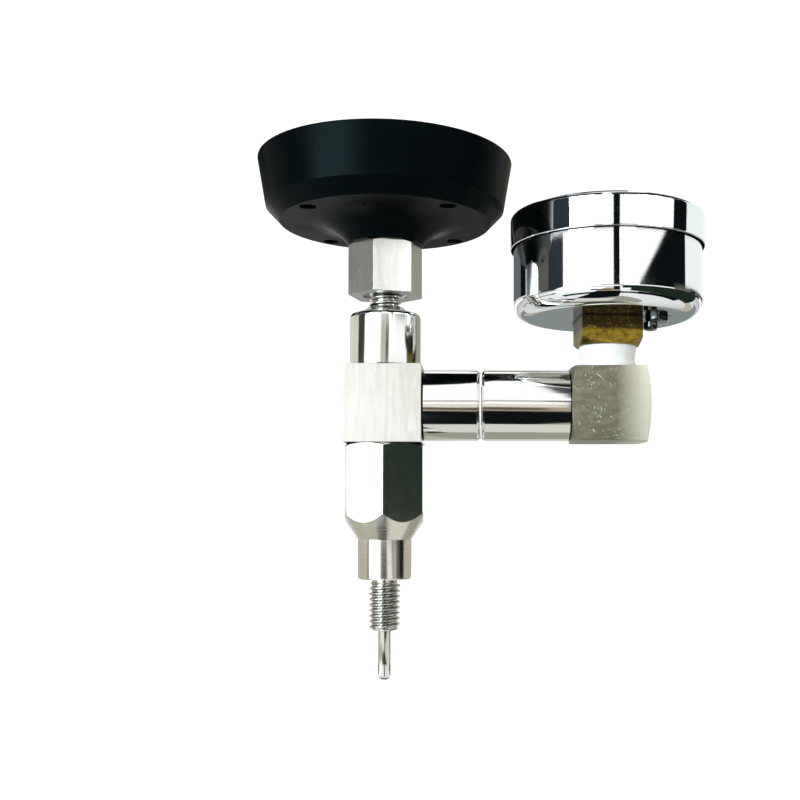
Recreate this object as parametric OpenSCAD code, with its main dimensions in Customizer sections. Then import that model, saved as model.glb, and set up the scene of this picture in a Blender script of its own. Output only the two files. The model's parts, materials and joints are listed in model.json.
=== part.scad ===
// Needle expansion valve with a side arm and a pressure gauge.
// The valve axis is Z, and z = 0 is the shoulder that seats on the machine.
// The side arm runs along +X. The gauge stands on the elbow, dial upwards.
// Threads are drawn as rings of the true profile and pitch.

/* [Needle and spindle] */
// Diameter of the needle below the nozzle
needle_d = 2.3; // [1.8:0.1:2.6]
// Distance from the shoulder down to the needle tip
needle_reach = 18.3; // [14:0.1:24]
// Outside diameter of the spindle and nozzle threads
thread_d = 5.9; // [5.6:0.05:6.1]
// Pitch of the spindle and nozzle threads
thread_pitch = 1.0; // [0.75:0.05:1.25]
// Diameter of the spindle between the needle and its piston
shank_d = 4.4; // [3.8:0.1:4.8]
// Height of the piston that carries the spindle seal
piston_h = 1.8; // [1.6:0.1:2.2]
// Travel from the stored position down to the closed seat
travel_down = 2.0; // [1:0.1:2.2]
// Travel from the stored position up to full flow
travel_up = 2.5; // [1:0.1:3]

/* [Lower body] */
// Width across flats of the hexagon
hex_af = 14; // [13:0.5:17]
// Angle of the hexagon's front corner away from the front
hex_turn = 2.4; // [-30:0.1:30]
// Height of the hexagon's top face above the shoulder
body_h = 24.7; // [22:0.1:28]
// Diameter of the spigot that enters the machine
spigot_d = 9.8; // [9:0.1:11]
// Length of the spigot
spigot_l = 7.2; // [5:0.1:9]
// Half angle of the cone between spigot and hexagon
body_cone_angle = 33.4; // [28:0.1:45]
// Length of the threaded nozzle below the shoulder
nozzle_l = 9.3; // [7:0.1:12]
// Bore of the nozzle round the needle
nozzle_bore_d = 2.9; // [2.7:0.05:3.2]
// Bore of the water space above the seat
body_bore_d = 6.0; // [5.4:0.1:6.4]
// Height of the seat's lower edge above the shoulder
seat_z = 2.0; // [1:0.1:3]
// Width of the relief groove between nozzle thread and shoulder
relief_w = 0.55; // [0.4:0.05:0.8]

/* [Tee] */
// Width of the square tee block
tee_w = 14; // [13.6:0.1:16]
// Height of the tee block
tee_h = 14; // [13.4:0.1:16]

/* [Gland] */
// Diameter of the gland above the tee
gland_d = 13; // [12:0.1:14]
// Height of the gland above the tee
gland_h = 9.9; // [9.4:0.1:12]
// Thread diameter of the gland tail that passes through the tee
tail_d = 8; // [7.6:0.1:8.4]
// Length of the gland tail screwed into the lower body
tail_grip = 6.8; // [5:0.1:8]
// Thread diameter of the bush in the gland
bush_thread_d = 8; // [7.6:0.1:8.4]
// Length of the bush screwed into the gland
bush_l = 2.85; // [2.4:0.05:3]
// Diameter of the bush's lip where it meets the gland
bush_lip_d = 8.9; // [8.6:0.1:9.6]
// Diameter of the bush's lip at its top
bush_top_d = 6.5; // [6.4:0.1:7.2]
// Height of the bush's lip
bush_lip_h = 1.2; // [0.8:0.1:1.4]

/* [Hub and knob] */
// Gap between the gland's top face and the hub
hub_gap = 3.3; // [3.1:0.1:5]
// Width across flats of the hub
hub_af = 12; // [11:0.5:14]
// Height of the hub's hexagon
hub_h = 9.5; // [8:0.1:12]
// Angle of the hub's front corner away from the front
hub_turn = -12.9; // [-30:0.1:30]
// Width across flats of the hub's stub inside the knob
stub_af = 8; // [7:0.5:9]
// Height of the hub's stub inside the knob
stub_h = 4.6; // [4:0.1:6]
// Outside diameter of the knob at its rim
knob_d = 46.6; // [42:0.1:52]
// Height of the knob over the hub
knob_h = 15.3; // [14:0.1:19]
// Diameter of the knob's foot on the hub
foot_d = 14.0; // [13.9:0.1:16]
// Radius of the hollow curve between the foot and the flat underside
foot_sweep_r = 8.9; // [5:0.1:11]
// Height of the foot
foot_h = 3.9; // [3:0.1:5]
// Diameter of the flat underside
flat_d = 38.7; // [36.4:0.1:40]
// Diameter at the top of the underside's bevel
bevel_d = 43.7; // [41:0.1:46]
// Height of the underside's bevel
bevel_h = 2.6; // [2:0.1:3.5]
// Wall of the knob's rim round the top cap
rim_wall = 2.1; // [1.8:0.1:4]
// Thickness of the top cap
cap_t = 2.4; // [2.2:0.1:3]
// Number of screws that hold the top cap
cap_screws = 4; // [3:1:8]
// Radius of the circle that the cap screws lie on
cap_screw_ring = 17.2; // [16:0.1:18]
// Angle of the first cap screw from the arm
cap_screw_turn = 43.8; // [0:0.1:90]
// Diameter of the cap screws' heads
cap_screw_head_d = 2.8; // [2.4:0.1:3.2]
// Diameter of the cap screws' thread
cap_screw_d = 1.6; // [1.4:0.1:2]

/* [Arm] */
// Diameter of the arm
arm_d = 13; // [12:0.1:13.4]
// Length of the fixed half of the arm
collar_l = 10.4; // [8:0.1:14]
// Length of the swivelling half of the arm
sleeve_l = 16.1; // [14:0.05:24]
// Bevel on both edges of the swivel seam
seam_bevel = 0.45; // [0.2:0.05:0.6]
// Thickness of the thrust ring in the swivel seam
ring_t = 0.3; // [0.2:0.05:0.6]
// Diameter of the thrust ring
ring_d = 12.3; // [10:0.1:12.6]
// Diameter of the nose that the arm swivels on
nose_d = 7.2; // [6.8:0.1:8]
// Length of the nose
nose_l = 9.8; // [9:0.1:11]
// Water bore through the arm
water_d = 3.0; // [2:0.1:3.4]
// Width of the square elbow block
elbow_w = 13.4; // [13:0.1:15]
// Length of the elbow block along the arm
elbow_l = 14.1; // [13:0.1:17]
// Radius of the turned face at both ends of the elbow
elbow_face_r = 6.75; // [6.3:0.05:7.5]
// Angle of the bevel round the elbow's turned faces
elbow_bevel_angle = 15; // [5:1:30]

/* [Gauge] */
// Diameter of the gauge stem's thread
stem_thread_d = 9.7; // [9.2:0.1:10.2]
// Length of taped thread between elbow and stem square
tape_l = 4.1; // [3:0.1:6]
// Thickness of the sealing tape on the thread
tape_t = 0.4; // [0.2:0.05:0.5]
// Width of the stem's square
square_w = 11; // [10.2:0.1:12.6]
// Height of the stem's square
square_h = 5.2; // [4:0.1:8]
// Angle of the stem's square to the arm
square_turn = 3.5; // [-45:0.1:45]
// Outside diameter of the gauge case
case_d = 34.6; // [33.6:0.1:37]
// Depth of the case from its back to its rim
case_h = 16.0; // [15.6:0.1:17]
// Wall of the case
case_wall = 0.6; // [0.4:0.05:0.9]
// Radius of the case's bottom edge
case_edge_r = 3.0; // [1.5:0.1:3.2]
// Height of the bezel
bezel_h = 6.2; // [5.4:0.1:6.6]
// Wall of the bezel
bezel_wall = 0.5; // [0.4:0.05:0.8]
// Width of the bezel's lip over the lens
bezel_lip = 1.9; // [1.2:0.1:2.4]
// Thickness of the lens
lens_t = 1.9; // [1.5:0.1:2.2]
// Thickness of the gasket under the lens
gasket_t = 0.5; // [0.3:0.05:0.8]
// Diameter of the dial
dial_d = 32.4; // [30:0.1:33]
// Length of the pointer in front of its shaft
pointer_l = 12.4; // [10:0.1:14]
// Depth of the dial's back below the case's rim
dial_drop = 3.3; // [3.2:0.1:3.6]
// Diameter of the vent plug's head on the case's back
vent_d = 4.3; // [3.8:0.1:4.8]
// Diameter of the nub below the vent plug's head
vent_nub_d = 2.6; // [2:0.1:3.4]
// Distance from the middle of the vent plug's head to the middle of its nub
vent_nub_shift = 1.15; // [0:0.05:1.5]
// Diameter of the vent hole in the case's back
vent_hole_d = 3.2; // [2.4:0.1:3.4]
// Distance from the gauge axis to the vent plug
vent_ring = 9.2; // [9:0.1:11.2]
// Direction of the vent plug from the gauge axis
vent_angle = -19; // [-30:0.5:-15]

/* [Gauge movement] */
// Tooth size of the sector and pinion
gear_module = 0.2; // [0.19:0.005:0.21]
// Teeth on the pinion
pinion_teeth = 10; // [10:1:11]
// Teeth on the full circle that the sector is part of
sector_teeth = 80; // [76:1:84]
// Swing of the sector over the whole scale
sector_swing = 33.75; // [28:0.25:34]
// Radius of the sector's tail
tail_arm = 3.0; // [2.8:0.1:3.2]
// Mean radius of the pressure tube
tube_r = 12.3; // [12:0.1:12.8]
// Width of the pressure tube's flat section
tube_h = 3.8; // [3:0.1:3.9]
// Thickness of the pressure tube's flat section
tube_t = 1.4; // [1:0.1:1.6]
// Wall of the pressure tube
tube_wall = 0.25; // [0.2:0.05:0.3]

/* [Clearances] */
// Clearance in a screwed joint, on radius
thread_gap = 0.05; // [0.02:0.01:0.08]
// Running clearance of a turning or sliding fit, on radius
run_gap = 0.05; // [0.03:0.01:0.08]
// Clearance between a seal and its groove, on radius
seal_gap = 0.03; // [0.02:0.005:0.04]
// Clearance left at the end of a travel
stop_gap = 0.1; // [0.05:0.01:0.2]

/* [Hidden] */
$fn = 72;
eps = 0.01;
thread_depth = 0.6 * thread_pitch;
thread_r = thread_d / 2;
root_r = thread_r - thread_depth;

// Heights on the valve axis, from the shoulder
hex_corner_r = hex_af / 2 / cos(30);
tee_z = body_h;
arm_z = tee_z + tee_h / 2;
gland_z = tee_z + tee_h;
bush_z = gland_z + gland_h;
hub_z = bush_z + hub_gap;
knob_z = hub_z + hub_h;
flat_z = knob_z + foot_h;
bevel_z = flat_z + bevel_h;
rim_z = knob_z + knob_h;

// Seat and spindle, in the stored position
needle_r = needle_d / 2;
shank_r = shank_d / 2;
nozzle_r = nozzle_bore_d / 2;
seat_h = body_bore_d / 2 - nozzle_r;
seat_gap = 0.05;
cone_z = seat_z + needle_r - nozzle_r + travel_down + seat_gap;
tail_bore_r = shank_r + 0.4;
floor_t = 0.5;
chamber_floor = gland_z + floor_t;
piston_z = chamber_floor + travel_down + stop_gap;
piston_top = piston_z + piston_h;
piston_relief = 0.5;
chamber_r = thread_r + run_gap + 0.02;
bush_bottom = bush_z - bush_l;
seal_d = 0.84;
seal_groove_w = 1.0;
spindle_top = knob_z - 1.9;
hub_recess_d = 8.2;
hub_recess_h = 0.9;
centre_screw_d = 3.9;
centre_head_d = 7.0;
centre_head_h = 2.2;
stub_top = knob_z + stub_h;
pocket_floor = stub_top + 2.0;
cap_d = knob_d - 2 * rim_wall - 0.2;
cap_z = rim_z - cap_t - 0.2;
cap_screw_z = cap_z - 3.6;

// Tee seals and water ways
tail_r = tail_d / 2;
tee_bore_r = tail_r + run_gap;
tee_groove_h = 3.0;
tee_groove_r = tail_r + 0.6;
tail_seal_d = 0.94;
tail_seal_w = 1.2;
tail_seal_r = tail_r + 0.08 + tail_seal_d / 2;
tail_seal_dz = [-4.7, 4.7];
cross_hole_d = 1.8;

// Places along the arm
collar_x = tee_w / 2;
arm_tail_r = 3.5;
arm_tail_l = tee_w / 2 - tee_groove_r - 0.25;
seam_x = collar_x + collar_l;
sleeve_x = seam_x + ring_t + stop_gap;
elbow_x = sleeve_x + sleeve_l;
gauge_x = elbow_x + elbow_l / 2;
nose_r = nose_d / 2;
nose_seal_d = 0.86;
nose_seal_w = 1.1;
nose_seal_x = seam_x + 3.9;
nose_seal_r = nose_r + run_gap - seal_gap - nose_seal_d / 2;
clip_x = seam_x + 8.1;
clip_w = 0.6;
clip_in = nose_r - 0.4;
clip_out = nose_r + 0.4;
sleeve_tail_l = 5.6;

// Places in the elbow
elbow_top = arm_z + elbow_w / 2;
stem_engage = 3.1;
stem_port_z = elbow_top - stem_engage - 0.2;

// Heights in the gauge, from the case's back
gauge_z = elbow_top + tape_l + square_h;
case_r = case_d / 2;
bezel_in_r = case_r + run_gap;
bezel_r = bezel_in_r + bezel_wall;
bezel_z = case_h + gasket_t + lens_t + 0.6 - bezel_h;
lens_r = case_r - 0.05;
neck_r = 3.4;
nut_af = 9.5;
nut_h = 1.9;
dial_z = case_h - dial_drop;
dial_t = 0.4;
plate_t = 0.6;
plate_gap = 2.6;
upper_z = dial_z - plate_t;
plate_z = upper_z - plate_gap - plate_t;
socket_z = case_wall + nut_h + 0.3;
socket_h = plate_z - socket_z;
socket_w = 5.6;
socket_pipe_r = 2.2;
socket_pipe_h = 3.6;
tube_z = plate_z - tube_h - 0.5;
tube_from = 30;
tube_to = 262;
tube_gap = 0.03;
tab_z = tube_z + tube_h;
tab_t = 0.4;
link_z = plate_z + plate_t + 0.2;
link_t = 0.5;
sector_z = link_z + link_t + 0.2;
sector_t = 0.6;
pinion_z = sector_z - 0.15;
pinion_h = sector_t + 0.3;
spring_z = pinion_z + pinion_h + 0.15;
spring_h = 0.4;
pointer_z = dial_z + dial_t + 0.9;
shaft_r = 0.5;
shaft_top = pointer_z + 0.7;

// Gear geometry
pinion_pitch_r = gear_module * pinion_teeth / 2;
sector_pitch_r = gear_module * sector_teeth / 2;
gear_backlash = 0.03;
gear_centres = pinion_pitch_r + sector_pitch_r + gear_backlash;
movement_angle = -45;
plate_half_w = 3.2;
plate_back = 5.0;
plate_front = gear_centres + 2.6;
back_pillar = -4.2;
front_pillar = [gear_centres + 0.6, -2.2];
pillar_r = 0.7;
dial_screw_at = [-3.0, 3.0];
movement_screw_y = [-2.4, 2.4];
small_screw_r = 0.35;
small_head_r = 0.75;
tail_angle = -sector_swing / 2;
pin_r = 0.35;
pin_hole_r = 0.42;
sector_at = [gear_centres * cos(movement_angle), gear_centres * sin(movement_angle)];
tail_at = [sector_at[0] + tail_arm * cos(tail_angle), sector_at[1] + tail_arm * sin(tail_angle)];
tip_at = [tail_at[0], 4.4];
tip_travel = 2 * tail_arm * sin(sector_swing / 2);
tip_bulge = tail_arm * (1 - cos(sector_swing / 2));

// Points on an arc about c, from angle a0 to a1
function arc(c, r, a0, a1, n = 6) =
    [for (i = [0:n]) c + r * [cos(a0 + (a1 - a0) * i / n), sin(a0 + (a1 - a0) * i / n)]];

// Outer profile of an external thread that starts at z0, as [radius, z] points
function thread_points(r_out, r_in, z0, length) =
    let (turns = floor(length / thread_pitch))
    [for (i = [0:turns - 1])
        for (p = [[r_in, 0.12], [r_out, 0.43], [r_out, 0.57], [r_in, 0.88]])
            [p[0], z0 + (i + p[1]) * thread_pitch]];

// Regular prism given across its flats, with one corner towards the front
module hexagon(af, h, turn = 0) {
    rotate([0, 0, turn - 90]) cylinder(h = h, r = af / 2 / cos(30), $fn = 6);
}

// Envelope that bevels the corners of a prism at its top, its bottom or both
module turned_envelope(r, h, top_r, bottom_r, angle = 30) {
    top_drop = (r - top_r) * tan(angle);
    bottom_rise = (r - bottom_r) * tan(angle);
    rotate_extrude() polygon([
        [0, 0], [bottom_r, 0], [r, bottom_rise], [r, h - top_drop], [top_r, h], [0, h]
    ]);
}

module tube_ring(r_in, r_out, h) {
    difference() {
        cylinder(h = h, r = r_out);
        translate([0, 0, -eps]) cylinder(h = h + 2 * eps, r = r_in);
    }
}

module o_ring(r, section_d) {
    rotate_extrude() translate([r, 0]) circle(d = section_d, $fn = 24);
}

module along_arm(x) {
    translate([x, 0, arm_z]) rotate([0, 90, 0]) children();
}

module at_gauge(z = 0) {
    translate([gauge_x, 0, gauge_z + z]) children();
}

module at_movement(z) {
    at_gauge(z) rotate([0, 0, movement_angle]) children();
}

// Flat bar with round ends between two points
module bar(a, b, w, h) {
    d = b - a;
    l = norm(d);
    translate([a[0], a[1], 0]) rotate([0, 0, atan2(d[1], d[0])]) {
        translate([0, -w / 2, 0]) cube([l, w, h]);
        cylinder(h = h, d = w);
        translate([l, 0, 0]) cylinder(h = h, d = w);
    }
}

// Lower body

module lower_body() {
    cone_h = (hex_corner_r + eps - spigot_d / 2) / tan(body_cone_angle);
    top_r = hex_af / 2 - 0.1;
    top_drop = (hex_corner_r - top_r) * tan(30);
    thread_l = nozzle_l - relief_w;
    color("gainsboro") difference() {
        union() {
            intersection() {
                hexagon(hex_af, body_h, hex_turn);
                rotate_extrude() polygon([
                    [0, spigot_l - 1], [spigot_d / 2, spigot_l - 1], [spigot_d / 2, spigot_l],
                    [hex_corner_r + eps, spigot_l + cone_h],
                    [hex_corner_r + eps, body_h - top_drop], [top_r, body_h], [0, body_h]
                ]);
            }
            rotate_extrude() polygon([
                [0, 0], [spigot_d / 2 - 0.3, 0], [spigot_d / 2, 0.3],
                [spigot_d / 2, spigot_l], [0, spigot_l]
            ]);
            rotate_extrude() polygon(concat(
                [[0, -nozzle_l], [root_r, -nozzle_l]],
                thread_points(thread_r, root_r, -nozzle_l, thread_l),
                [[root_r, -relief_w], [root_r, eps], [0, eps]]
            ));
        }
        translate([0, 0, -nozzle_l - eps]) cylinder(h = nozzle_l + seat_z + 2 * eps, r = nozzle_r);
        translate([0, 0, seat_z]) cylinder(h = seat_h, r1 = nozzle_r, r2 = body_bore_d / 2);
        translate([0, 0, seat_z + seat_h - eps]) cylinder(h = body_h, r = body_bore_d / 2);
        translate([0, 0, body_h - tail_grip - 0.4])
            cylinder(h = tail_grip + 1, r = tail_r + thread_gap);
    }
}

// Tee, turning on the gland's tail

module tee_block() {
    color("whitesmoke") difference() {
        translate([-tee_w / 2, -tee_w / 2, tee_z]) cube([tee_w, tee_w, tee_h]);
        translate([0, 0, tee_z - eps]) cylinder(h = tee_h + 2 * eps, r = tee_bore_r);
        translate([0, 0, arm_z - tee_groove_h / 2]) cylinder(h = tee_groove_h, r = tee_groove_r);
        for (dz = tail_seal_dz)
            translate([0, 0, arm_z + dz - tail_seal_w / 2])
                cylinder(h = tail_seal_w, r = tail_seal_r + tail_seal_d / 2 + seal_gap);
        along_arm(0) cylinder(h = tee_w, r = arm_tail_r + thread_gap);
    }
}

module tee_seals() {
    color("#222222") for (dz = tail_seal_dz)
        translate([0, 0, arm_z + dz]) o_ring(tail_seal_r, tail_seal_d);
}

// Gland with the tail that clamps the tee to the lower body

module gland_body() {
    edge = 0.9;
    r = gland_d / 2;
    tail_bottom = tee_z - tail_grip;
    color("silver") difference() {
        union() {
            rotate_extrude() polygon(concat(
                [[0, gland_z], [r - 0.2, gland_z], [r, gland_z + 0.2]],
                arc([r - edge, bush_z - edge], edge, 0, 90),
                [[0, bush_z]]
            ));
            translate([0, 0, tail_bottom]) cylinder(h = gland_z - tail_bottom + eps, r = tail_r);
        }
        translate([0, 0, tail_bottom - eps])
            cylinder(h = chamber_floor - tail_bottom + 2 * eps, r = tail_bore_r);
        translate([0, 0, chamber_floor]) cylinder(h = bush_z, r = chamber_r);
        translate([0, 0, bush_bottom - 0.05])
            cylinder(h = bush_l + 1, r = bush_thread_d / 2 + thread_gap);
        for (a = [0, 90])
            translate([0, 0, arm_z]) rotate([90, 0, a])
                cylinder(h = 2 * tail_d, d = cross_hole_d, center = true);
    }
}

module gland_bush() {
    color("silver") difference() {
        union() {
            translate([0, 0, bush_bottom]) cylinder(h = bush_l, d = bush_thread_d);
            translate([0, 0, bush_z])
                cylinder(h = bush_lip_h, d1 = bush_lip_d, d2 = bush_top_d);
        }
        translate([0, 0, bush_bottom - eps])
            cylinder(h = bush_l + bush_lip_h + 1, r = thread_r + thread_gap);
    }
}

// Spindle: needle, shank, piston with its seal, and the driving thread

module spindle() {
    tip_edge = 0.35;
    thread_z = piston_top + piston_relief;
    groove_r = thread_r + run_gap - seal_gap - seal_d - seal_gap;
    groove_z = piston_z + (piston_h - seal_groove_w) / 2;
    thread_l = spindle_top - thread_z;
    color("silver") rotate_extrude() polygon(concat(
        [[0, -needle_reach]],
        arc([needle_r - tip_edge, -needle_reach + tip_edge], tip_edge, -90, 0),
        [[needle_r, cone_z], [shank_r, cone_z + shank_r - needle_r], [shank_r, piston_z],
         [thread_r, piston_z], [thread_r, groove_z], [groove_r, groove_z],
         [groove_r, groove_z + seal_groove_w], [thread_r, groove_z + seal_groove_w],
         [thread_r, piston_top], [root_r, piston_top]],
        thread_points(thread_r, root_r, thread_z, thread_l),
        [[root_r, spindle_top], [0, spindle_top]]
    ));
}

module spindle_seal() {
    color("#222222") translate([0, 0, piston_z + piston_h / 2])
        o_ring(thread_r + run_gap - seal_gap - seal_d / 2, seal_d);
}

// Hub and knob

module knob_hub() {
    color("lightgray") difference() {
        union() {
            intersection() {
                translate([0, 0, hub_z]) hexagon(hub_af, hub_h, hub_turn);
                translate([0, 0, hub_z])
                    turned_envelope(hub_af / 2 / cos(30) + eps, hub_h, hub_af / 2 + 0.15, hub_af);
            }
            translate([0, 0, knob_z - eps]) hexagon(stub_af, stub_h + eps, hub_turn);
        }
        translate([0, 0, hub_z - eps]) cylinder(h = hub_recess_h, d = hub_recess_d);
        translate([0, 0, hub_z]) cylinder(h = spindle_top + 0.2 - hub_z, r = thread_r + thread_gap);
        translate([0, 0, spindle_top + 0.8])
            cylinder(h = stub_top, d = centre_screw_d + 2 * thread_gap);
    }
}

module knob_screw_places() {
    for (i = [0:cap_screws - 1])
        rotate([0, 0, cap_screw_turn + 360 * i / cap_screws]) translate([cap_screw_ring, 0, 0]) children();
}

module knob_body() {
    rim_edge = 0.35;
    foot_edge = 0.2;
    foot_r = foot_d / 2;
    sweep_h = foot_h - foot_edge;
    sweep_l = sqrt(2 * foot_sweep_r * sweep_h - sweep_h ^ 2);
    sweep_start = 180 - acos(sweep_l / foot_sweep_r);
    color("#15181b") difference() {
        rotate_extrude() polygon(concat(
            [[0, knob_z], [foot_r - foot_edge, knob_z]],
            arc([foot_r + sweep_l, flat_z - foot_sweep_r], foot_sweep_r, sweep_start, 90, 10),
            [[flat_d / 2, flat_z], [bevel_d / 2, bevel_z]],
            arc([knob_d / 2 - rim_edge, rim_z - rim_edge], rim_edge, 0, 90),
            [[0, rim_z]]
        ));
        translate([0, 0, cap_z]) cylinder(h = cap_t + 1, d = cap_d + 0.2);
        translate([0, 0, pocket_floor]) cylinder(h = knob_h, d = centre_head_d + 3);
        translate([0, 0, knob_z - 1]) hexagon(stub_af + 0.1, stub_h + 1, hub_turn);
        translate([0, 0, knob_z]) cylinder(h = knob_h, d = centre_screw_d + 0.3);
        knob_screw_places() {
            translate([0, 0, flat_z - 1]) cylinder(h = cap_screw_z - flat_z + 1, d = cap_screw_head_d + 0.2);
            translate([0, 0, flat_z]) cylinder(h = knob_h, d = cap_screw_d + 0.3);
        }
    }
}

module knob_cap() {
    color("#1d2124") difference() {
        rotate_extrude() polygon([
            [0, cap_z], [cap_d / 2, cap_z], [cap_d / 2, cap_z + cap_t - 0.5],
            [cap_d / 2 - 0.5, cap_z + cap_t], [0, cap_z + cap_t]
        ]);
        knob_screw_places()
            translate([0, 0, cap_z - eps]) cylinder(h = cap_t - 0.6, d = cap_screw_d + 0.1);
    }
}

module knob_cap_screws() {
    head_h = 1.3;
    color("dimgray") knob_screw_places() difference() {
        union() {
            translate([0, 0, cap_screw_z - head_h]) cylinder(h = head_h, d = cap_screw_head_d);
            translate([0, 0, cap_screw_z - eps]) cylinder(h = cap_z + cap_t - 0.8 - cap_screw_z, d = cap_screw_d);
        }
        translate([0, 0, cap_screw_z - head_h - eps])
            cylinder(h = 0.8, d = 1.3 / cos(30), $fn = 6);
    }
}

module knob_centre_screw() {
    bottom = spindle_top + 1.0;
    color("dimgray") difference() {
        union() {
            translate([0, 0, bottom]) cylinder(h = pocket_floor - bottom + eps, d = centre_screw_d);
            translate([0, 0, pocket_floor]) cylinder(h = centre_head_h, d = centre_head_d);
        }
        translate([0, 0, pocket_floor + centre_head_h - 1.4])
            cylinder(h = 2, d = 2.5 / cos(30), $fn = 6);
    }
}

// Arm: fixed collar, swivelling sleeve and their seals

module arm_collar() {
    r = arm_d / 2;
    seal_root = nose_seal_r - nose_seal_d / 2 - seal_gap;
    clip_root = clip_in - run_gap;
    nose_end = collar_l + nose_l;
    seal_at = nose_seal_x - collar_x;
    clip_at = clip_x - collar_x;
    color("silver") along_arm(collar_x) difference() {
        rotate_extrude() polygon([
            [0, -arm_tail_l], [arm_tail_r, -arm_tail_l], [arm_tail_r, 0],
            [r - 0.3, 0], [r, 0.3], [r, collar_l - seam_bevel], [r - seam_bevel, collar_l],
            [nose_r, collar_l], [nose_r, seal_at - nose_seal_w / 2],
            [seal_root, seal_at - nose_seal_w / 2], [seal_root, seal_at + nose_seal_w / 2],
            [nose_r, seal_at + nose_seal_w / 2], [nose_r, clip_at - clip_w / 2 - run_gap],
            [clip_root, clip_at - clip_w / 2 - run_gap],
            [clip_root, clip_at + clip_w / 2 + run_gap],
            [nose_r, clip_at + clip_w / 2 + run_gap], [nose_r, nose_end - 0.3],
            [nose_r - 0.3, nose_end], [0, nose_end]
        ]);
        translate([0, 0, -arm_tail_l - eps])
            cylinder(h = arm_tail_l + nose_end + 2 * eps, d = water_d);
    }
}

// Low-friction ring that the sleeve turns against
module swivel_ring() {
    color("white") along_arm(seam_x) tube_ring(nose_r + run_gap, ring_d / 2, ring_t);
}

module arm_seal() {
    color("#222222") along_arm(nose_seal_x) o_ring(nose_seal_r, nose_seal_d);
}

// Spring wire ring with a gap, seated in the sleeve's inner groove
module arm_clip() {
    color("gray") along_arm(clip_x - clip_w / 2) difference() {
        tube_ring(clip_in, clip_out, clip_w);
        translate([0, -0.6, -eps]) cube([2 * clip_out, 1.2, clip_w + 2 * eps]);
    }
}

module arm_sleeve() {
    r = arm_d / 2;
    bore_l = nose_l - ring_t - stop_gap + 0.2;
    color("silver") along_arm(sleeve_x) difference() {
        rotate_extrude() polygon([
            [0, 0], [r - seam_bevel, 0], [r, seam_bevel], [r, sleeve_l - 0.2],
            [r - 0.2, sleeve_l], [thread_r, sleeve_l],
            [thread_r, sleeve_l + sleeve_tail_l], [0, sleeve_l + sleeve_tail_l]
        ]);
        translate([0, 0, -eps]) cylinder(h = bore_l, r = nose_r + run_gap);
        translate([0, 0, clip_x - sleeve_x - clip_w / 2 - eps])
            cylinder(h = clip_w + 2 * eps, r = clip_out + eps);
        cylinder(h = sleeve_l + sleeve_tail_l + 1, d = water_d);
    }
}

module elbow_block() {
    reach = sleeve_tail_l + 0.2;
    color("lightgray") difference() {
        intersection() {
            translate([elbow_x, -elbow_w / 2, arm_z - elbow_w / 2])
                cube([elbow_l, elbow_w, elbow_w]);
            along_arm(elbow_x)
                turned_envelope(elbow_w, elbow_l, elbow_face_r, elbow_face_r, elbow_bevel_angle);
        }
        along_arm(elbow_x - eps) cylinder(h = reach, r = thread_r + thread_gap);
        along_arm(elbow_x) cylinder(h = elbow_l / 2, d = water_d);
        translate([gauge_x, 0, arm_z]) cylinder(h = elbow_w, d = water_d);
        translate([gauge_x, 0, stem_port_z]) cylinder(h = elbow_w, r = stem_thread_d / 2 + thread_gap);
    }
}

// Gauge stem and case

module sealing_tape() {
    r = stem_thread_d / 2 + thread_gap;
    color("white") translate([gauge_x, 0, elbow_top])
        tube_ring(r, r + tape_t, tape_l);
}

module gauge_stem() {
    thread_bottom = -square_h - tape_l - stem_engage;
    color("darkgoldenrod") at_gauge() difference() {
        union() {
            translate([0, 0, thread_bottom])
                cylinder(h = stem_engage + tape_l + eps, d = stem_thread_d);
            intersection() {
                rotate([0, 0, square_turn])
                    translate([-square_w / 2, -square_w / 2, -square_h])
                        cube([square_w, square_w, square_h]);
                translate([0, 0, -square_h])
                    turned_envelope(square_w, square_h, square_w, square_w / 2 + 0.2);
            }
            cylinder(h = socket_z, r = neck_r);
            cylinder(h = socket_z + socket_pipe_h, r = socket_pipe_r);
        }
        translate([0, 0, thread_bottom - eps])
            cylinder(h = socket_z + socket_pipe_h - thread_bottom + 2 * eps, d = 2.2);
    }
}

module case_nut() {
    color("goldenrod") at_gauge(case_wall) difference() {
        hexagon(nut_af, nut_h);
        translate([0, 0, -eps]) cylinder(h = nut_h + 2 * eps, r = neck_r + thread_gap);
    }
}

module gauge_case() {
    inner_edge = case_edge_r - case_wall;
    inner_r = case_r - case_wall;
    color("lightsteelblue") at_gauge() difference() {
        rotate_extrude() polygon(concat(
            [[0, 0]],
            arc([case_r - case_edge_r, case_edge_r], case_edge_r, -90, 0),
            [[case_r, case_h], [inner_r, case_h]],
            arc([case_r - case_edge_r, case_edge_r], inner_edge, 0, -90),
            [[0, case_wall]]
        ));
        translate([0, 0, -eps]) cylinder(h = 1, r = neck_r + thread_gap);
        rotate([0, 0, vent_angle]) translate([vent_ring, 0, -eps]) cylinder(h = 1, d = vent_hole_d);
    }
}

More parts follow.
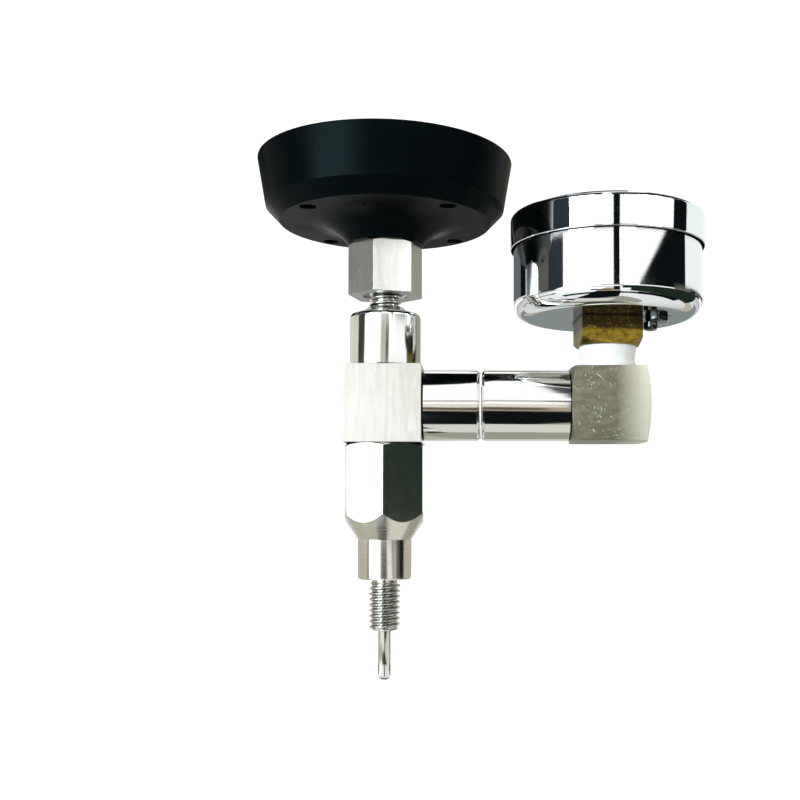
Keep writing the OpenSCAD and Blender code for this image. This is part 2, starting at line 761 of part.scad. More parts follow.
// Rubber plug in the case's back, with a round head and an off-centre nub outside
module vent_plug() {
    head_h = 0.9;
    nub_h = 1.7;
    inside = 1.2;
    edge = 0.45;
    nub_edge = 0.6;
    nub_top = -0.4;
    neck = vent_hole_d / 2 - 0.05;
    color("#1a1a1a") at_gauge() rotate([0, 0, vent_angle]) translate([vent_ring, 0, 0]) {
        rotate_extrude() polygon(concat(
            [[0, case_wall + inside], [neck, case_wall + inside],
             [neck + 0.2, case_wall + 0.02], [neck, case_wall + 0.02],
             [neck, 0], [vent_d / 2 - 0.15, 0], [vent_d / 2, -0.15]],
            arc([vent_d / 2 - edge, edge - head_h], edge, 0, -90, 4),
            [[0, -head_h]]
        ));
        rotate([0, 0, 180 - vent_angle]) translate([vent_nub_shift, 0, 0])
            rotate_extrude() polygon(concat(
                [[0, nub_top], [vent_nub_d / 2 - 0.2, nub_top], [vent_nub_d / 2, nub_top - 0.2]],
                arc([vent_nub_d / 2 - nub_edge, nub_edge - head_h - nub_h], nub_edge, 0, -90, 4),
                [[0, -head_h - nub_h]]
            ));
    }
}

module bezel() {
    top = bezel_z + bezel_h;
    lip_in = bezel_r - bezel_lip;
    lip_t = 0.6;
    edge = 1.0;
    color("silver") at_gauge() rotate_extrude() polygon(concat(
        [[bezel_in_r, bezel_z], [bezel_r - 0.15, bezel_z], [bezel_r, bezel_z + 0.15]],
        arc([bezel_r - edge, top - edge], edge, 0, 90),
        [[lip_in, top], [lip_in, top - lip_t], [bezel_in_r, top - lip_t]]
    ));
}

module lens_gasket() {
    color("#222222") at_gauge(case_h) tube_ring(case_r - 2, lens_r, gasket_t);
}

module lens() {
    color("azure") at_gauge(case_h + gasket_t) cylinder(h = lens_t, r = lens_r);
}

module dial() {
    color("white") at_movement(dial_z) difference() {
        cylinder(h = dial_t, d = dial_d);
        translate([0, 0, -eps]) cylinder(h = dial_t + 2 * eps, r = 1.2);
        for (x = dial_screw_at)
            translate([x, 0, -eps]) cylinder(h = dial_t + 2 * eps, r = small_screw_r + run_gap);
    }
}

module dial_screws() {
    color("gray") at_movement(upper_z) for (x = dial_screw_at) translate([x, 0, 0]) {
        cylinder(h = plate_t + dial_t, r = small_screw_r);
        translate([0, 0, plate_t + dial_t]) cylinder(h = 0.4, r = small_head_r);
    }
}

// Pointer at zero, which lies a little left of the bottom of the scale
module pointer() {
    hub_r = 1.3;
    color("black") at_gauge(pointer_z) rotate([0, 0, 225]) difference() {
        union() {
            linear_extrude(0.25) polygon([
                [-4.0, -0.7], [0, -0.55], [pointer_l, -0.12], [pointer_l, 0.12], [0, 0.55], [-4.0, 0.7]
            ]);
            cylinder(h = 0.5, r = hub_r);
        }
        translate([0, 0, -eps]) cylinder(h = 2, r = shaft_r);
    }
}

// Pressure tube and the socket that it is soldered into

module tube_section(from, to, r_in, r_out, z0, z1) {
    rotate([0, 0, from]) rotate_extrude(angle = to - from)
        polygon([[r_in, z0], [r_out, z0], [r_out, z1], [r_in, z1]]);
}

module tube_socket() {
    front = tube_r + tube_t / 2 + 0.9;
    color("darkgoldenrod") at_gauge() difference() {
        translate([-socket_w / 2, -front, socket_z]) cube([socket_w, front + 4, socket_h]);
        translate([0, 0, socket_z - eps])
            cylinder(h = socket_pipe_h + 2 * eps, r = socket_pipe_r + tube_gap);
        translate([0, 0, socket_z + socket_pipe_h - 1]) rotate([90, 0, 0])
            cylinder(h = tube_r, r = 0.5);
        tube_section(240, tube_to + 0.2, tube_r - tube_t / 2 - tube_gap,
            tube_r + tube_t / 2 + tube_gap, tube_z - tube_gap, tube_z + tube_h + tube_gap);
        for (y = movement_screw_y)
            translate([0, y, plate_z - 1.5]) cylinder(h = 2, r = small_screw_r + run_gap);
        translate([0, 0, plate_z - 1.2]) cylinder(h = 2, r = shaft_r + 0.1);
    }
}

module pressure_tube() {
    r_in = tube_r - tube_t / 2;
    r_out = tube_r + tube_t / 2;
    color("goldenrod") at_gauge() {
        difference() {
            tube_section(tube_from, tube_to, r_in, r_out, tube_z, tube_z + tube_h);
            tube_section(tube_from + 4, tube_to + 4, r_in + tube_wall, r_out - tube_wall,
                tube_z + tube_wall, tube_z + tube_h - tube_wall);
        }
        difference() {
            translate([tip_at[0] - 1.1, tip_at[1] - 1.1, tab_z - eps])
                cube([3.6, tip_travel + 2.4, tab_t + eps]);
            translate([tip_bulge / 2, 0, tab_z - 1])
                bar(tip_at, tip_at + [0, tip_travel], 2 * pin_hole_r + tip_bulge, 2);
        }
    }
}

// Gauge movement

module movement_plate(z) {
    translate([0, 0, z]) difference() {
        translate([-plate_back, -plate_half_w, 0])
            cube([plate_back + plate_front, 2 * plate_half_w, plate_t]);
        for (x = [0, gear_centres])
            translate([x, 0, -eps]) cylinder(h = plate_t + 2 * eps, r = shaft_r + run_gap);
    }
}

module movement_plates() {
    color("goldenrod") at_movement(0) {
        difference() {
            movement_plate(plate_z);
            rotate([0, 0, -movement_angle]) for (y = movement_screw_y)
                translate([0, y, plate_z - eps]) cylinder(h = 2, r = small_screw_r + run_gap);
        }
        difference() {
            movement_plate(upper_z);
            for (x = dial_screw_at)
                translate([x, 0, upper_z - eps]) cylinder(h = 2, r = small_screw_r + run_gap);
        }
        for (p = [[back_pillar, 0], front_pillar])
            translate([p[0], p[1], plate_z + plate_t - eps])
                cylinder(h = plate_gap + 2 * eps, r = pillar_r);
    }
}

module movement_screws() {
    color("gray") at_gauge(plate_z) for (y = movement_screw_y) translate([0, y, 0]) {
        translate([0, 0, -1.2]) cylinder(h = 1.2 + plate_t, r = small_screw_r);
        translate([0, 0, plate_t]) cylinder(h = 0.45, r = small_head_r);
    }
}

// One straight-sided gear tooth on a pitch circle, pointing along +X
module tooth(pitch_r, h) {
    half = PI * gear_module / 4;
    linear_extrude(h) polygon([
        [pitch_r - 1.6 * gear_module, -1.15 * half], [pitch_r + 0.85 * gear_module, -0.4 * half],
        [pitch_r + 0.85 * gear_module, 0.4 * half], [pitch_r - 1.6 * gear_module, 1.15 * half]
    ]);
}

module sector_gear() {
    step = 360 / sector_teeth;
    first = -ceil((sector_swing + 3) / step);
    root = sector_pitch_r - 1.3 * gear_module;
    from = (first - 0.5) * step;
    to = 1.5 * step;
    color("gold") at_gauge(sector_z) translate([sector_at[0], sector_at[1], 0]) {
        rotate([0, 0, movement_angle + 180]) {
            tube_section(from, to, root - 1.1, root, 0, sector_t);
            for (i = [first:1])
                rotate([0, 0, i * step]) tooth(sector_pitch_r, sector_t);
            for (a = [from + 3, to - 3])
                bar([0, 0], (root - 0.6) * [cos(a), sin(a)], 1.0, sector_t);
        }
        cylinder(h = sector_t, r = 1.4);
        bar([0, 0], tail_at - sector_at, 1.3, sector_t);
        translate([0, 0, plate_z + 0.1 - sector_z])
            cylinder(h = plate_gap + 2 * plate_t - 0.2, r = shaft_r);
        translate([tail_at[0] - sector_at[0], tail_at[1] - sector_at[1], link_z - sector_z])
            cylinder(h = sector_z - link_z + eps, r = pin_r);
    }
}

module pinion_shaft() {
    step = 360 / pinion_teeth;
    color("gold") at_gauge() {
        translate([0, 0, plate_z - 1]) cylinder(h = shaft_top - plate_z + 1, r = shaft_r);
        translate([0, 0, pinion_z]) rotate([0, 0, movement_angle]) {
            cylinder(h = pinion_h, r = pinion_pitch_r - 1.3 * gear_module);
            for (i = [0:pinion_teeth - 1])
                rotate([0, 0, (i + 0.5) * step]) tooth(pinion_pitch_r, pinion_h);
        }
        translate([0, 0, spring_z]) cylinder(h = spring_h + 0.2, r = 0.8);
    }
}

// Link from the pressure tube's tip to the sector's tail
module tube_link() {
    w = 1.4;
    color("lightgray") at_gauge() {
        difference() {
            translate([0, 0, link_z]) bar(tail_at, tip_at, w, link_t);
            translate([tail_at[0], tail_at[1], link_z - 1]) cylinder(h = 3, r = pin_hole_r);
        }
        translate([tip_at[0], tip_at[1], tab_z - 0.2])
            cylinder(h = link_z - tab_z + 0.2 + eps, r = pin_r);
    }
}

// Flat spiral that takes up the play between sector and pinion
module hairspring() {
    turns = 3;
    steps = 24 * turns;
    r_from = 1.0;
    r_to = 3.1;
    w = 0.12;
    spiral = [for (i = [0:steps]) [r_from + (r_to - r_from) * i / steps, 360 * turns * i / steps]];
    color("goldenrod") at_movement(spring_z) {
        linear_extrude(spring_h) polygon(concat(
            [for (p = spiral) p[0] * [cos(p[1]), sin(p[1])]],
            [for (i = [steps:-1:0]) (spiral[i][0] + w) * [cos(spiral[i][1]), sin(spiral[i][1])]]
        ));
        translate([r_to + w / 2, -0.35, 0]) cube([0.5, 0.7, upper_z - spring_z]);
    }
}

lower_body();
tee_block();
tee_seals();
gland_body();
gland_bush();
spindle();
spindle_seal();
knob_hub();
knob_body();
knob_cap();
knob_cap_screws();
knob_centre_screw();
arm_collar();
swivel_ring();
arm_seal();
arm_clip();
arm_sleeve();
elbow_block();
sealing_tape();
gauge_stem();
gauge_case();
case_nut();
vent_plug();
bezel();
lens_gasket();
lens();
dial();
dial_screws();
pointer();
tube_socket();
pressure_tube();
movement_plates();
movement_screws();
sector_gear();
pinion_shaft();
tube_link();
hairspring();
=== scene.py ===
"""Looks for the needle valve with its side arm and pressure gauge.

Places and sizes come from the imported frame. Mesh sizes are in millimetres, and MM turns them
into metres. Angles round a piece are counted from the front, which is -Y, towards +X.
"""

import json
import math

import bmesh
import bpy
from mathutils import Matrix, Vector, noise


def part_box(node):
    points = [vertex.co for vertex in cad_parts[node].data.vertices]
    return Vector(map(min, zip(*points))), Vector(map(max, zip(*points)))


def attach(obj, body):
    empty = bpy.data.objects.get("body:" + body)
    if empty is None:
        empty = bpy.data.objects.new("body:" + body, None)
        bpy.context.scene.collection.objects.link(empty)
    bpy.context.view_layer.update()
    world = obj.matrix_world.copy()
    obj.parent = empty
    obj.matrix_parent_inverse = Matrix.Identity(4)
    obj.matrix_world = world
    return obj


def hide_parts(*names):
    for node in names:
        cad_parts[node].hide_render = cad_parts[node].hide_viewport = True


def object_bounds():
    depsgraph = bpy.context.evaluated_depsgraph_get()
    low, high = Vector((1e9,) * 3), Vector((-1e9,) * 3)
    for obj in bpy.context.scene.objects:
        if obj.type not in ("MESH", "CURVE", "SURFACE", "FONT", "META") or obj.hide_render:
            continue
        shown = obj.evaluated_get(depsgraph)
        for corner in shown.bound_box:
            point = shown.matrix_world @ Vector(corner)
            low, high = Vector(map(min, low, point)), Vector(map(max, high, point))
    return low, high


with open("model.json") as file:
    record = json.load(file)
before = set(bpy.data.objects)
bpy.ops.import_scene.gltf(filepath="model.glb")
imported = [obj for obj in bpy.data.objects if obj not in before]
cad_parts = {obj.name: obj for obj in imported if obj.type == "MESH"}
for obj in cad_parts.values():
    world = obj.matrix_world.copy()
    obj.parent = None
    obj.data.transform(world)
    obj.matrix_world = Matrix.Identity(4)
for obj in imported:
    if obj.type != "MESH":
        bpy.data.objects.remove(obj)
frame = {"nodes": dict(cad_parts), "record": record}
cad_low, cad_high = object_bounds()

MM = 0.001
NODES = frame["nodes"]
TAU = 2 * math.pi


def box_mm(node):
    """Lowest and highest corner of a CAD node, in millimetres."""
    low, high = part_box(node)
    return Vector(low) / MM, Vector(high) / MM


def middle_mm(node):
    low, high = box_mm(node)
    return (low + high) / 2


# Camera, solved from the photograph's edges

FOCAL_PX = 1044.0
PHOTO_PX = 800.0
CENTRE_X_PX = 486.0
CENTRE_Y_PX = 469.0
CAMERA_AT = Vector((18.1, -191.8, 13.75)) * MM
CAMERA_PITCH = math.radians(1.89)
CAMERA_YAW = math.radians(-0.14)
SENSOR_MM = 36.0


def make_camera():
    data = bpy.data.cameras.new("photo_camera")
    data.sensor_width = SENSOR_MM
    data.lens = FOCAL_PX / PHOTO_PX * SENSOR_MM
    data.shift_x = -(CENTRE_X_PX - PHOTO_PX / 2) / PHOTO_PX
    data.shift_y = (CENTRE_Y_PX - PHOTO_PX / 2) / PHOTO_PX
    data.clip_start = 0.01
    data.clip_end = 20.0
    camera = bpy.data.objects.new("photo_camera", data)
    camera.location = CAMERA_AT
    camera.rotation_euler = (math.pi / 2 + CAMERA_PITCH, 0.0, CAMERA_YAW)
    bpy.context.scene.collection.objects.link(camera)
    bpy.context.scene.camera = camera


# Material building blocks


class Look:
    """A material under construction, with short names for the nodes it needs."""

    def __init__(self, name, color, metallic=0.0, roughness=0.4):
        self.material = bpy.data.materials.new(name)
        self.material.use_nodes = True
        self.tree = self.material.node_tree
        self.shader = self.tree.nodes["Principled BSDF"]
        self.set("Base Color", (*color, 1.0))
        self.set("Metallic", metallic)
        self.set("Roughness", roughness)
        self.coords = self.add("ShaderNodeTexCoord").outputs["Object"]

    def set(self, socket, value):
        self.shader.inputs[socket].default_value = value

    def add(self, kind, **settings):
        made = self.tree.nodes.new(kind)
        for key, value in settings.items():
            setattr(made, key, value)
        return made

    def link(self, source, target):
        self.tree.links.new(source, target)

    def stretched(self, scale, turn=(0, 0, 0)):
        """Object coordinates in millimetres, turned and scaled."""
        mapping = self.add("ShaderNodeMapping", vector_type="TEXTURE")
        mapping.inputs["Rotation"].default_value = [math.radians(a) for a in turn]
        mapping.inputs["Scale"].default_value = [MM / s for s in scale]
        self.link(self.coords, mapping.inputs["Vector"])
        return mapping.outputs["Vector"]

    def noise(self, scale, detail=3.0, rough=0.5, turn=(0, 0, 0)):
        """Noise between 0 and 1. scale is features per millimetre along X, Y and Z."""
        texture = self.add("ShaderNodeTexNoise")
        texture.inputs["Scale"].default_value = 1.0
        texture.inputs["Detail"].default_value = detail
        texture.inputs["Roughness"].default_value = rough
        self.link(self.stretched(scale, turn), texture.inputs["Vector"])
        return texture.outputs["Fac"]

    def axes(self):
        """X, Y and Z of the object coordinates, in metres."""
        split = self.add("ShaderNodeSeparateXYZ")
        self.link(self.coords, split.inputs["Vector"])
        return [split.outputs[axis] for axis in "XYZ"]

    def ramp(self, source, low, high, out_low, out_high):
        """Maps low..high of the source onto out_low..out_high, clamped."""
        node = self.add("ShaderNodeMapRange")
        for socket, value in zip(("From Min", "From Max", "To Min", "To Max"),
                                 (low, high, out_low, out_high)):
            node.inputs[socket].default_value = value
        self.link(source, node.inputs["Value"])
        return node.outputs["Result"]

    def math(self, operation, a, b=0.0):
        node = self.add("ShaderNodeMath", operation=operation)
        for socket, value in zip(node.inputs, (a, b)):
            if isinstance(value, (int, float)):
                socket.default_value = value
            else:
                self.link(value, socket)
        return node.outputs["Value"]

    def mixed(self, factor, low, high):
        """Number between two sockets."""
        node = self.add("ShaderNodeMix", data_type="FLOAT")
        self.link(factor, node.inputs[0])
        self.link(low, node.inputs[2])
        self.link(high, node.inputs[3])
        return node.outputs[0]

    def blend(self, factor, low, high):
        """Colour between low and high. Each is a colour or a socket."""
        node = self.add("ShaderNodeMix", data_type="RGBA")
        for socket, value in ((node.inputs[6], low), (node.inputs[7], high)):
            if isinstance(value, tuple):
                socket.default_value = (*value, 1.0)
            else:
                self.link(value, socket)
        self.link(factor, node.inputs[0])
        return node.outputs[2]

    def to(self, socket, source):
        self.link(source, self.shader.inputs[socket])

    def base_color(self):
        """What feeds the base colour: a socket, or the plain colour."""
        base = self.shader.inputs["Base Color"]
        return base.links[0].from_socket if base.is_linked else tuple(base.default_value)[:3]

    def cover(self, mask, color):
        """Lays a colour over the base colour where the mask is 1."""
        self.to("Base Color", self.blend(mask, self.base_color(), color))

    def bump(self, height, distance_mm, strength=1.0):
        """Adds relief. distance_mm is the height of a change from 0 to 1."""
        node = self.add("ShaderNodeBump")
        node.inputs["Strength"].default_value = strength
        node.inputs["Distance"].default_value = distance_mm * MM
        self.link(height, node.inputs["Height"])
        normal = self.shader.inputs["Normal"]
        if normal.is_linked:
            self.link(normal.links[0].from_socket, node.inputs["Normal"])
        self.link(node.outputs["Normal"], normal)

    def soft_edges(self, radius_mm):
        """Rounds the shading of sharp edges by a small radius, before any relief."""
        node = self.add("ShaderNodeBevel", samples=4)
        node.inputs["Radius"].default_value = radius_mm * MM
        self.link(node.outputs["Normal"], self.shader.inputs["Normal"])

    def crevices(self, reach_mm=0.7, low=0.30, high=0.80, dark=(0.02, 0.02, 0.018)):
        """Paints shade into the base colour inside grooves and seams, where ambient occlusion finds
        them.
        """
        node = self.add("ShaderNodeAmbientOcclusion", samples=6)
        node.inputs["Distance"].default_value = reach_mm * MM
        unshaded = self.ramp(node.outputs["AO"], low, high, 0.0, 1.0)
        self.to("Base Color", self.blend(unshaded, dark, self.base_color()))

    def scratches(self, turn, length_mm, width_mm):
        """Mask of thin straight scratches, all along one direction."""
        across, along = 0.25 / width_mm, 1 / length_mm
        lines = self.noise((along, across, across), 1.0, 0.4, turn)
        places = self.noise((0.35, 0.35, 0.35), 1.0, 0.5, turn)
        thin = self.ramp(lines, 0.73, 0.76, 0.0, 1.0)
        return self.math("MULTIPLY", thin, self.ramp(places, 0.50, 0.58, 0.0, 1.0))


def metal(name, color, roughness, grain, grain_mm, spread=0.08, variation=0.06, edge_mm=0.0):
    """Metal with a directional grain.

    grain is its scale along X, Y and Z, per millimetre, and grain_mm its depth. spread and
    variation are how far roughness and colour stray, and edge_mm rounds the edges.
    """
    look = Look(name, color, 1.0, roughness)
    if edge_mm:
        look.soft_edges(edge_mm)
    fine = look.noise(grain, 4.0, 0.6)
    broad = look.noise((0.12, 0.12, 0.12), 3.0)
    both = look.math("ADD", look.math("MULTIPLY", fine, 0.6), look.math("MULTIPLY", broad, 0.4))
    look.to("Roughness", look.ramp(both, 0.3, 0.7, roughness - spread, roughness + spread))
    darker = tuple(c * (1 - variation) for c in color)
    lighter = tuple(min(1.0, c * (1 + variation)) for c in color)
    look.to("Base Color", look.blend(both, darker, lighter))
    look.bump(fine, grain_mm)
    return look


def brushed_stainless():
    """Vertical brushing with a few pits."""
    look = metal("brushed_stainless", (0.80, 0.80, 0.76), 0.24, (9.0, 9.0, 0.35), 0.0005,
                 spread=0.05, edge_mm=0.10)
    smear = look.noise((1.1, 1.1, 0.16), 4.0, 0.65)
    look.cover(look.ramp(smear, 0.42, 0.62, 0.0, 0.6), (0.69, 0.69, 0.65))
    pits = look.ramp(look.noise((1.3, 1.3, 1.3), 4.0, 0.7), 0.70, 0.76, 0.0, 1.0)
    look.bump(look.math("SUBTRACT", 1.0, pits), 0.01)
    look.crevices()
    return look.material


# Sizes that the lower body's material shares with its mesh
HEX_START = 10.5
SPIGOT_R = 4.9
SPIGOT_L = 7.2
CONE_DEG = 33.4

HEX_BLEND = 0.5
CONE_BLEND = 0.05
CONE_SKIN = (0.06, 0.03)
CONE_ROUGHER = 0.09
TURNED_ROUGHNESS = 0.13


def turned_stainless():
    """Lower body: turned below, satin on the cone, brushed upright on the hexagon."""
    look = Look("turned_stainless", (0.78, 0.77, 0.74), 1.0, TURNED_ROUGHNESS)
    x, y, z = look.axes()
    upright = look.noise((9.0, 9.0, 0.35), 4.0, 0.6)
    turned = look.noise((0.05, 0.05, 9.0), 3.0, 0.6)
    on_hexagon = look.ramp(z, (HEX_START - HEX_BLEND) * MM, (HEX_START + HEX_BLEND) * MM, 0.0, 1.0)
    grain = look.mixed(on_hexagon, turned, upright)

    slope = math.tan(math.radians(CONE_DEG))
    from_axis = look.math("SQRT", look.math("ADD", look.math("MULTIPLY", x, x),
                                            look.math("MULTIPLY", y, y)))
    cone_wall = look.math("ADD", look.math("MULTIPLY", z, slope),
                          (SPIGOT_R - SPIGOT_L * slope) * MM)
    outside = look.ramp(look.math("SUBTRACT", from_axis, cone_wall),
                        -CONE_SKIN[0] * MM, -CONE_SKIN[1] * MM, 0.0, 1.0)
    above = look.ramp(z, (SPIGOT_L - CONE_BLEND) * MM, (SPIGOT_L + CONE_BLEND) * MM, 0.0, 1.0)
    satin = look.math("MULTIPLY", look.math("MULTIPLY", outside, above), CONE_ROUGHER)
    streaks = look.ramp(grain, 0.3, 0.7, TURNED_ROUGHNESS - 0.05, TURNED_ROUGHNESS + 0.07)

    look.to("Roughness", look.math("ADD", satin, streaks))
    look.to("Base Color", look.blend(grain, (0.80, 0.785, 0.74), (0.88, 0.865, 0.815)))
    look.bump(grain, 0.0006)
    look.crevices(0.8)
    return look.material


ELBOW_PAINTED_SHEEN = (41.8, 47.2)
SCRATCH_TURNS = ((0, 35, 0), (0, -20, 0), (0, 80, 0), (0, 120, 30))
SCRATCH_L = 1.2
SCRATCH_W = 0.05


def elbow_stainless():
    """Satin grey with short bright scratches, and a painted reflection that pales it towards its
    far face.
    """
    look = metal("elbow_stainless", (0.205, 0.198, 0.133), 0.34, (1.4, 7.0, 6.0), 0.0012,
                 variation=0.14, edge_mm=0.12)
    smear = look.noise((0.45, 0.9, 0.9), 4.0, 0.6)
    look.cover(look.ramp(smear, 0.40, 0.62, 0.0, 1.0), (0.285, 0.275, 0.20))
    # Painted reflection: towards the far face the base colour pales to near white.
    x = look.axes()[0]
    look.cover(look.ramp(x, ELBOW_PAINTED_SHEEN[0] * MM, ELBOW_PAINTED_SHEEN[1] * MM, 0.0, 1.0), (0.86, 0.85, 0.70))
    marks = look.scratches(SCRATCH_TURNS[0], SCRATCH_L, SCRATCH_W)
    for turn in SCRATCH_TURNS[1:]:
        marks = look.math("MAXIMUM", marks, look.scratches(turn, SCRATCH_L, SCRATCH_W))
    look.cover(marks, (0.85, 0.84, 0.80))
    look.bump(marks, -0.004)
    look.crevices()
    return look.material


def polished_stainless():
    """Mirror finish that keeps faint upright lines on the gland and ring lines on the arm."""
    look = metal("polished_stainless", (0.88, 0.88, 0.86), 0.085, (5.0, 0.3, 0.3), 0.00012,
                 spread=0.025, variation=0.03)
    look.crevices(0.5)
    return look.material


def case_chrome():
    """Plated sheet with a slight orange peel that frays the edges of its reflections."""
    look = Look("case_chrome", (0.86, 0.88, 0.89), 1.0, 0.025)
    peel = look.noise((2.2, 2.2, 3.0), 4.0, 0.65)
    fray = look.noise((0.5, 0.5, 6.0), 3.0, 0.6)
    smudge = look.noise((0.15, 0.15, 0.15), 3.0)
    look.to("Roughness", look.ramp(smudge, 0.35, 0.7, 0.015, 0.05))
    look.to("Base Color", look.blend(smudge, (0.84, 0.86, 0.87), (0.89, 0.90, 0.91)))
    look.bump(peel, 0.0012)
    look.bump(fray, 0.0003)
    # Painted shade with a longer reach, which darkens the case just under the bezel's overhang.
    look.crevices(1.0, 0.5, 0.9)
    return look.material


SHADE_RISE = (44.4, 46.0)


def stem_brass():
    """Dull bar brass with saw marks, darker oxide in clouds, and painted shade that darkens it
    towards the top, under the gauge case.
    """
    look = metal("stem_brass", (0.30, 0.205, 0.025), 0.32, (1.5, 1.5, 5.0), 0.012,
                 spread=0.1, variation=0.25, edge_mm=0.15)
    mottle = look.noise((1.2, 1.2, 1.6), 4.0, 0.7)
    look.cover(look.ramp(mottle, 0.42, 0.66, 0.0, 1.0), (0.12, 0.08, 0.015))
    z = look.axes()[2]
    # Painted shade: the brass darkens towards its top, under the gauge case; the clouds add oxide
    # anywhere.
    rise = look.ramp(z, SHADE_RISE[0] * MM, SHADE_RISE[1] * MM, 0.0, 0.75)
    cloud = look.ramp(look.noise((0.5, 0.5, 0.9), 4.0, 0.6), 0.35, 0.65, 0.0, 0.7)
    tarnish_and_shade = look.ramp(look.math("ADD", rise, cloud), 0.35, 0.9, 0.0, 1.0)
    look.cover(tarnish_and_shade, (0.05, 0.035, 0.012))
    specks = look.ramp(look.noise((5.0, 5.0, 5.0), 2.0, 0.5), 0.66, 0.70, 0.0, 0.8)
    look.cover(specks, (0.62, 0.50, 0.18))
    look.crevices()
    return look.material


def movement_brass():
    return metal("movement_brass", (0.72, 0.55, 0.24), 0.25, (4.0, 0.5, 4.0), 0.001).material


def spring_steel():
    return metal("spring_steel", (0.6, 0.6, 0.6), 0.25, (4.0, 4.0, 4.0), 0.0005).material


def plastic(name, color, roughness, grain_mm=0.004, spread=0.06, gloss=0.5,
            tint=(1.0, 1.0, 1.0)):
    """Plastic, rubber or paint with a fine even grain. gloss and tint set its highlights."""
    look = Look(name, color, 0.0, roughness)
    look.set("Specular IOR Level", gloss)
    look.set("Specular Tint", (*tint, 1.0))
    fine = look.noise((6.0, 6.0, 6.0), 3.0)
    broad = look.noise((0.15, 0.15, 0.15), 2.0)
    look.to("Roughness", look.ramp(broad, 0.3, 0.7, roughness - spread, roughness + spread))
    look.to("Base Color", look.blend(broad, tuple(c * 0.9 for c in color),
                                     tuple(min(1.0, c * 1.1) for c in color)))
    look.bump(fine, grain_mm)
    return look


def plug_rubber():
    look = plastic("plug_rubber", (0.005, 0.006, 0.006), 0.10, grain_mm=0.001, spread=0.03)
    look.set("Coat Weight", 1.0)
    look.set("Coat Roughness", 0.03)
    look.set("Coat IOR", 1.6)
    return look.material


def thread_tape():
    """Soft white film, wound and a little wrinkled."""
    look = plastic("thread_tape", (0.86, 0.86, 0.84), 0.38, grain_mm=0.006, spread=0.08)
    look.bump(look.noise((0.6, 0.6, 5.0), 3.0, 0.6), 0.02)
    look.set("Subsurface Weight", 0.15)
    look.set("Subsurface Radius", (0.001, 0.001, 0.001))
    return look.material


def clear_lens():
    look = Look("clear_lens", (0.97, 0.99, 0.99), 0.0, 0.02)
    look.set("Transmission Weight", 1.0)
    look.set("IOR", 1.46)
    return look.material


MATERIALS = {
    "brushed_stainless": brushed_stainless(),
    "elbow_stainless": elbow_stainless(),
    "polished_stainless": polished_stainless(),
    "seal_rubber": plastic("seal_rubber", (0.015, 0.015, 0.015), 0.5).material,
    "knob_plastic": plastic("knob_plastic", (0.0010, 0.0020, 0.0026), 0.30, grain_mm=0.003,
                            spread=0.05, gloss=0.032, tint=(0.62, 0.93, 1.0)).material,
    "black_screws": plastic("black_screws", (0.02, 0.02, 0.02), 0.4).material,
    "ring_plastic": plastic("ring_plastic", (0.85, 0.84, 0.80), 0.4).material,
    "spring_steel": spring_steel(),
    "thread_tape": thread_tape(),
    "stem_brass": stem_brass(),
    "case_chrome": case_chrome(),
    "plug_rubber": plug_rubber(),
    "clear_lens": clear_lens(),
    "dial_white": plastic("dial_white", (0.86, 0.86, 0.83), 0.5, 0.001).material,
    "pointer_black": plastic("pointer_black", (0.01, 0.01, 0.01), 0.35, 0.001).material,
    "movement_brass": movement_brass(),
}
TURNED = turned_stainless()


# Smooth shading for the CAD nodes, which arrive as facets

SMOOTH_BELOW = math.radians(24)
MERGE_DISTANCE = 0.001 * MM


def smoothing_group():
    """Joins the facets' corners and shades every edge smooth that turns by a small angle."""
    group = bpy.data.node_groups.new("smooth_by_angle", "GeometryNodeTree")
    group.interface.new_socket("Geometry", in_out="INPUT", socket_type="NodeSocketGeometry")
    group.interface.new_socket("Geometry", in_out="OUTPUT", socket_type="NodeSocketGeometry")
    make = group.nodes.new
    merge = make("GeometryNodeMergeByDistance")
    merge.inputs["Distance"].default_value = MERGE_DISTANCE
    bare = make("GeometryNodeRemoveAttribute")
    bare.inputs["Name"].default_value = "custom_normal"
    angle = make("GeometryNodeInputMeshEdgeAngle")
    small = make("FunctionNodeCompare")
    small.data_type = "FLOAT"
    small.operation = "LESS_THAN"
    small.inputs["B"].default_value = SMOOTH_BELOW
    edges = make("GeometryNodeSetShadeSmooth")
    edges.domain = "EDGE"
    faces = make("GeometryNodeSetShadeSmooth")
    faces.domain = "FACE"
    link = group.links.new
    link(make("NodeGroupInput").outputs[0], merge.inputs["Geometry"])
    link(merge.outputs["Geometry"], bare.inputs["Geometry"])
    link(bare.outputs["Geometry"], edges.inputs["Geometry"])
    link(angle.outputs["Unsigned Angle"], small.inputs["A"])
    link(small.outputs["Result"], edges.inputs["Shade Smooth"])
    link(edges.outputs["Geometry"], faces.inputs["Geometry"])
    link(faces.outputs["Geometry"], make("NodeGroupOutput").inputs[0])
    return group


def weigh_normals(piece):
    weighted = piece.modifiers.new("weigh_normals", "WEIGHTED_NORMAL")
    weighted.keep_sharp = True


def dress_nodes():
    group = smoothing_group()
    for part in frame["record"]["subparts"]:
        node = NODES[part["node"]]
        node.data.materials.clear()
        node.data.materials.append(MATERIALS[part["material_slot"]])
        smooth = node.modifiers.new("smooth_by_angle", "NODES")
        smooth.node_group = group
        weigh_normals(node)


# Mesh building blocks


def make_piece(name, mesh, slot, body, *nodes):
    """Links a mesh as a piece that rides on a body and stands for CAD nodes."""
    mesh.materials.append(MATERIALS[slot])
    piece = bpy.data.objects.new(name, mesh)
    bpy.context.scene.collection.objects.link(piece)
    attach(piece, body)
    if nodes:
        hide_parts(*nodes)
    return piece


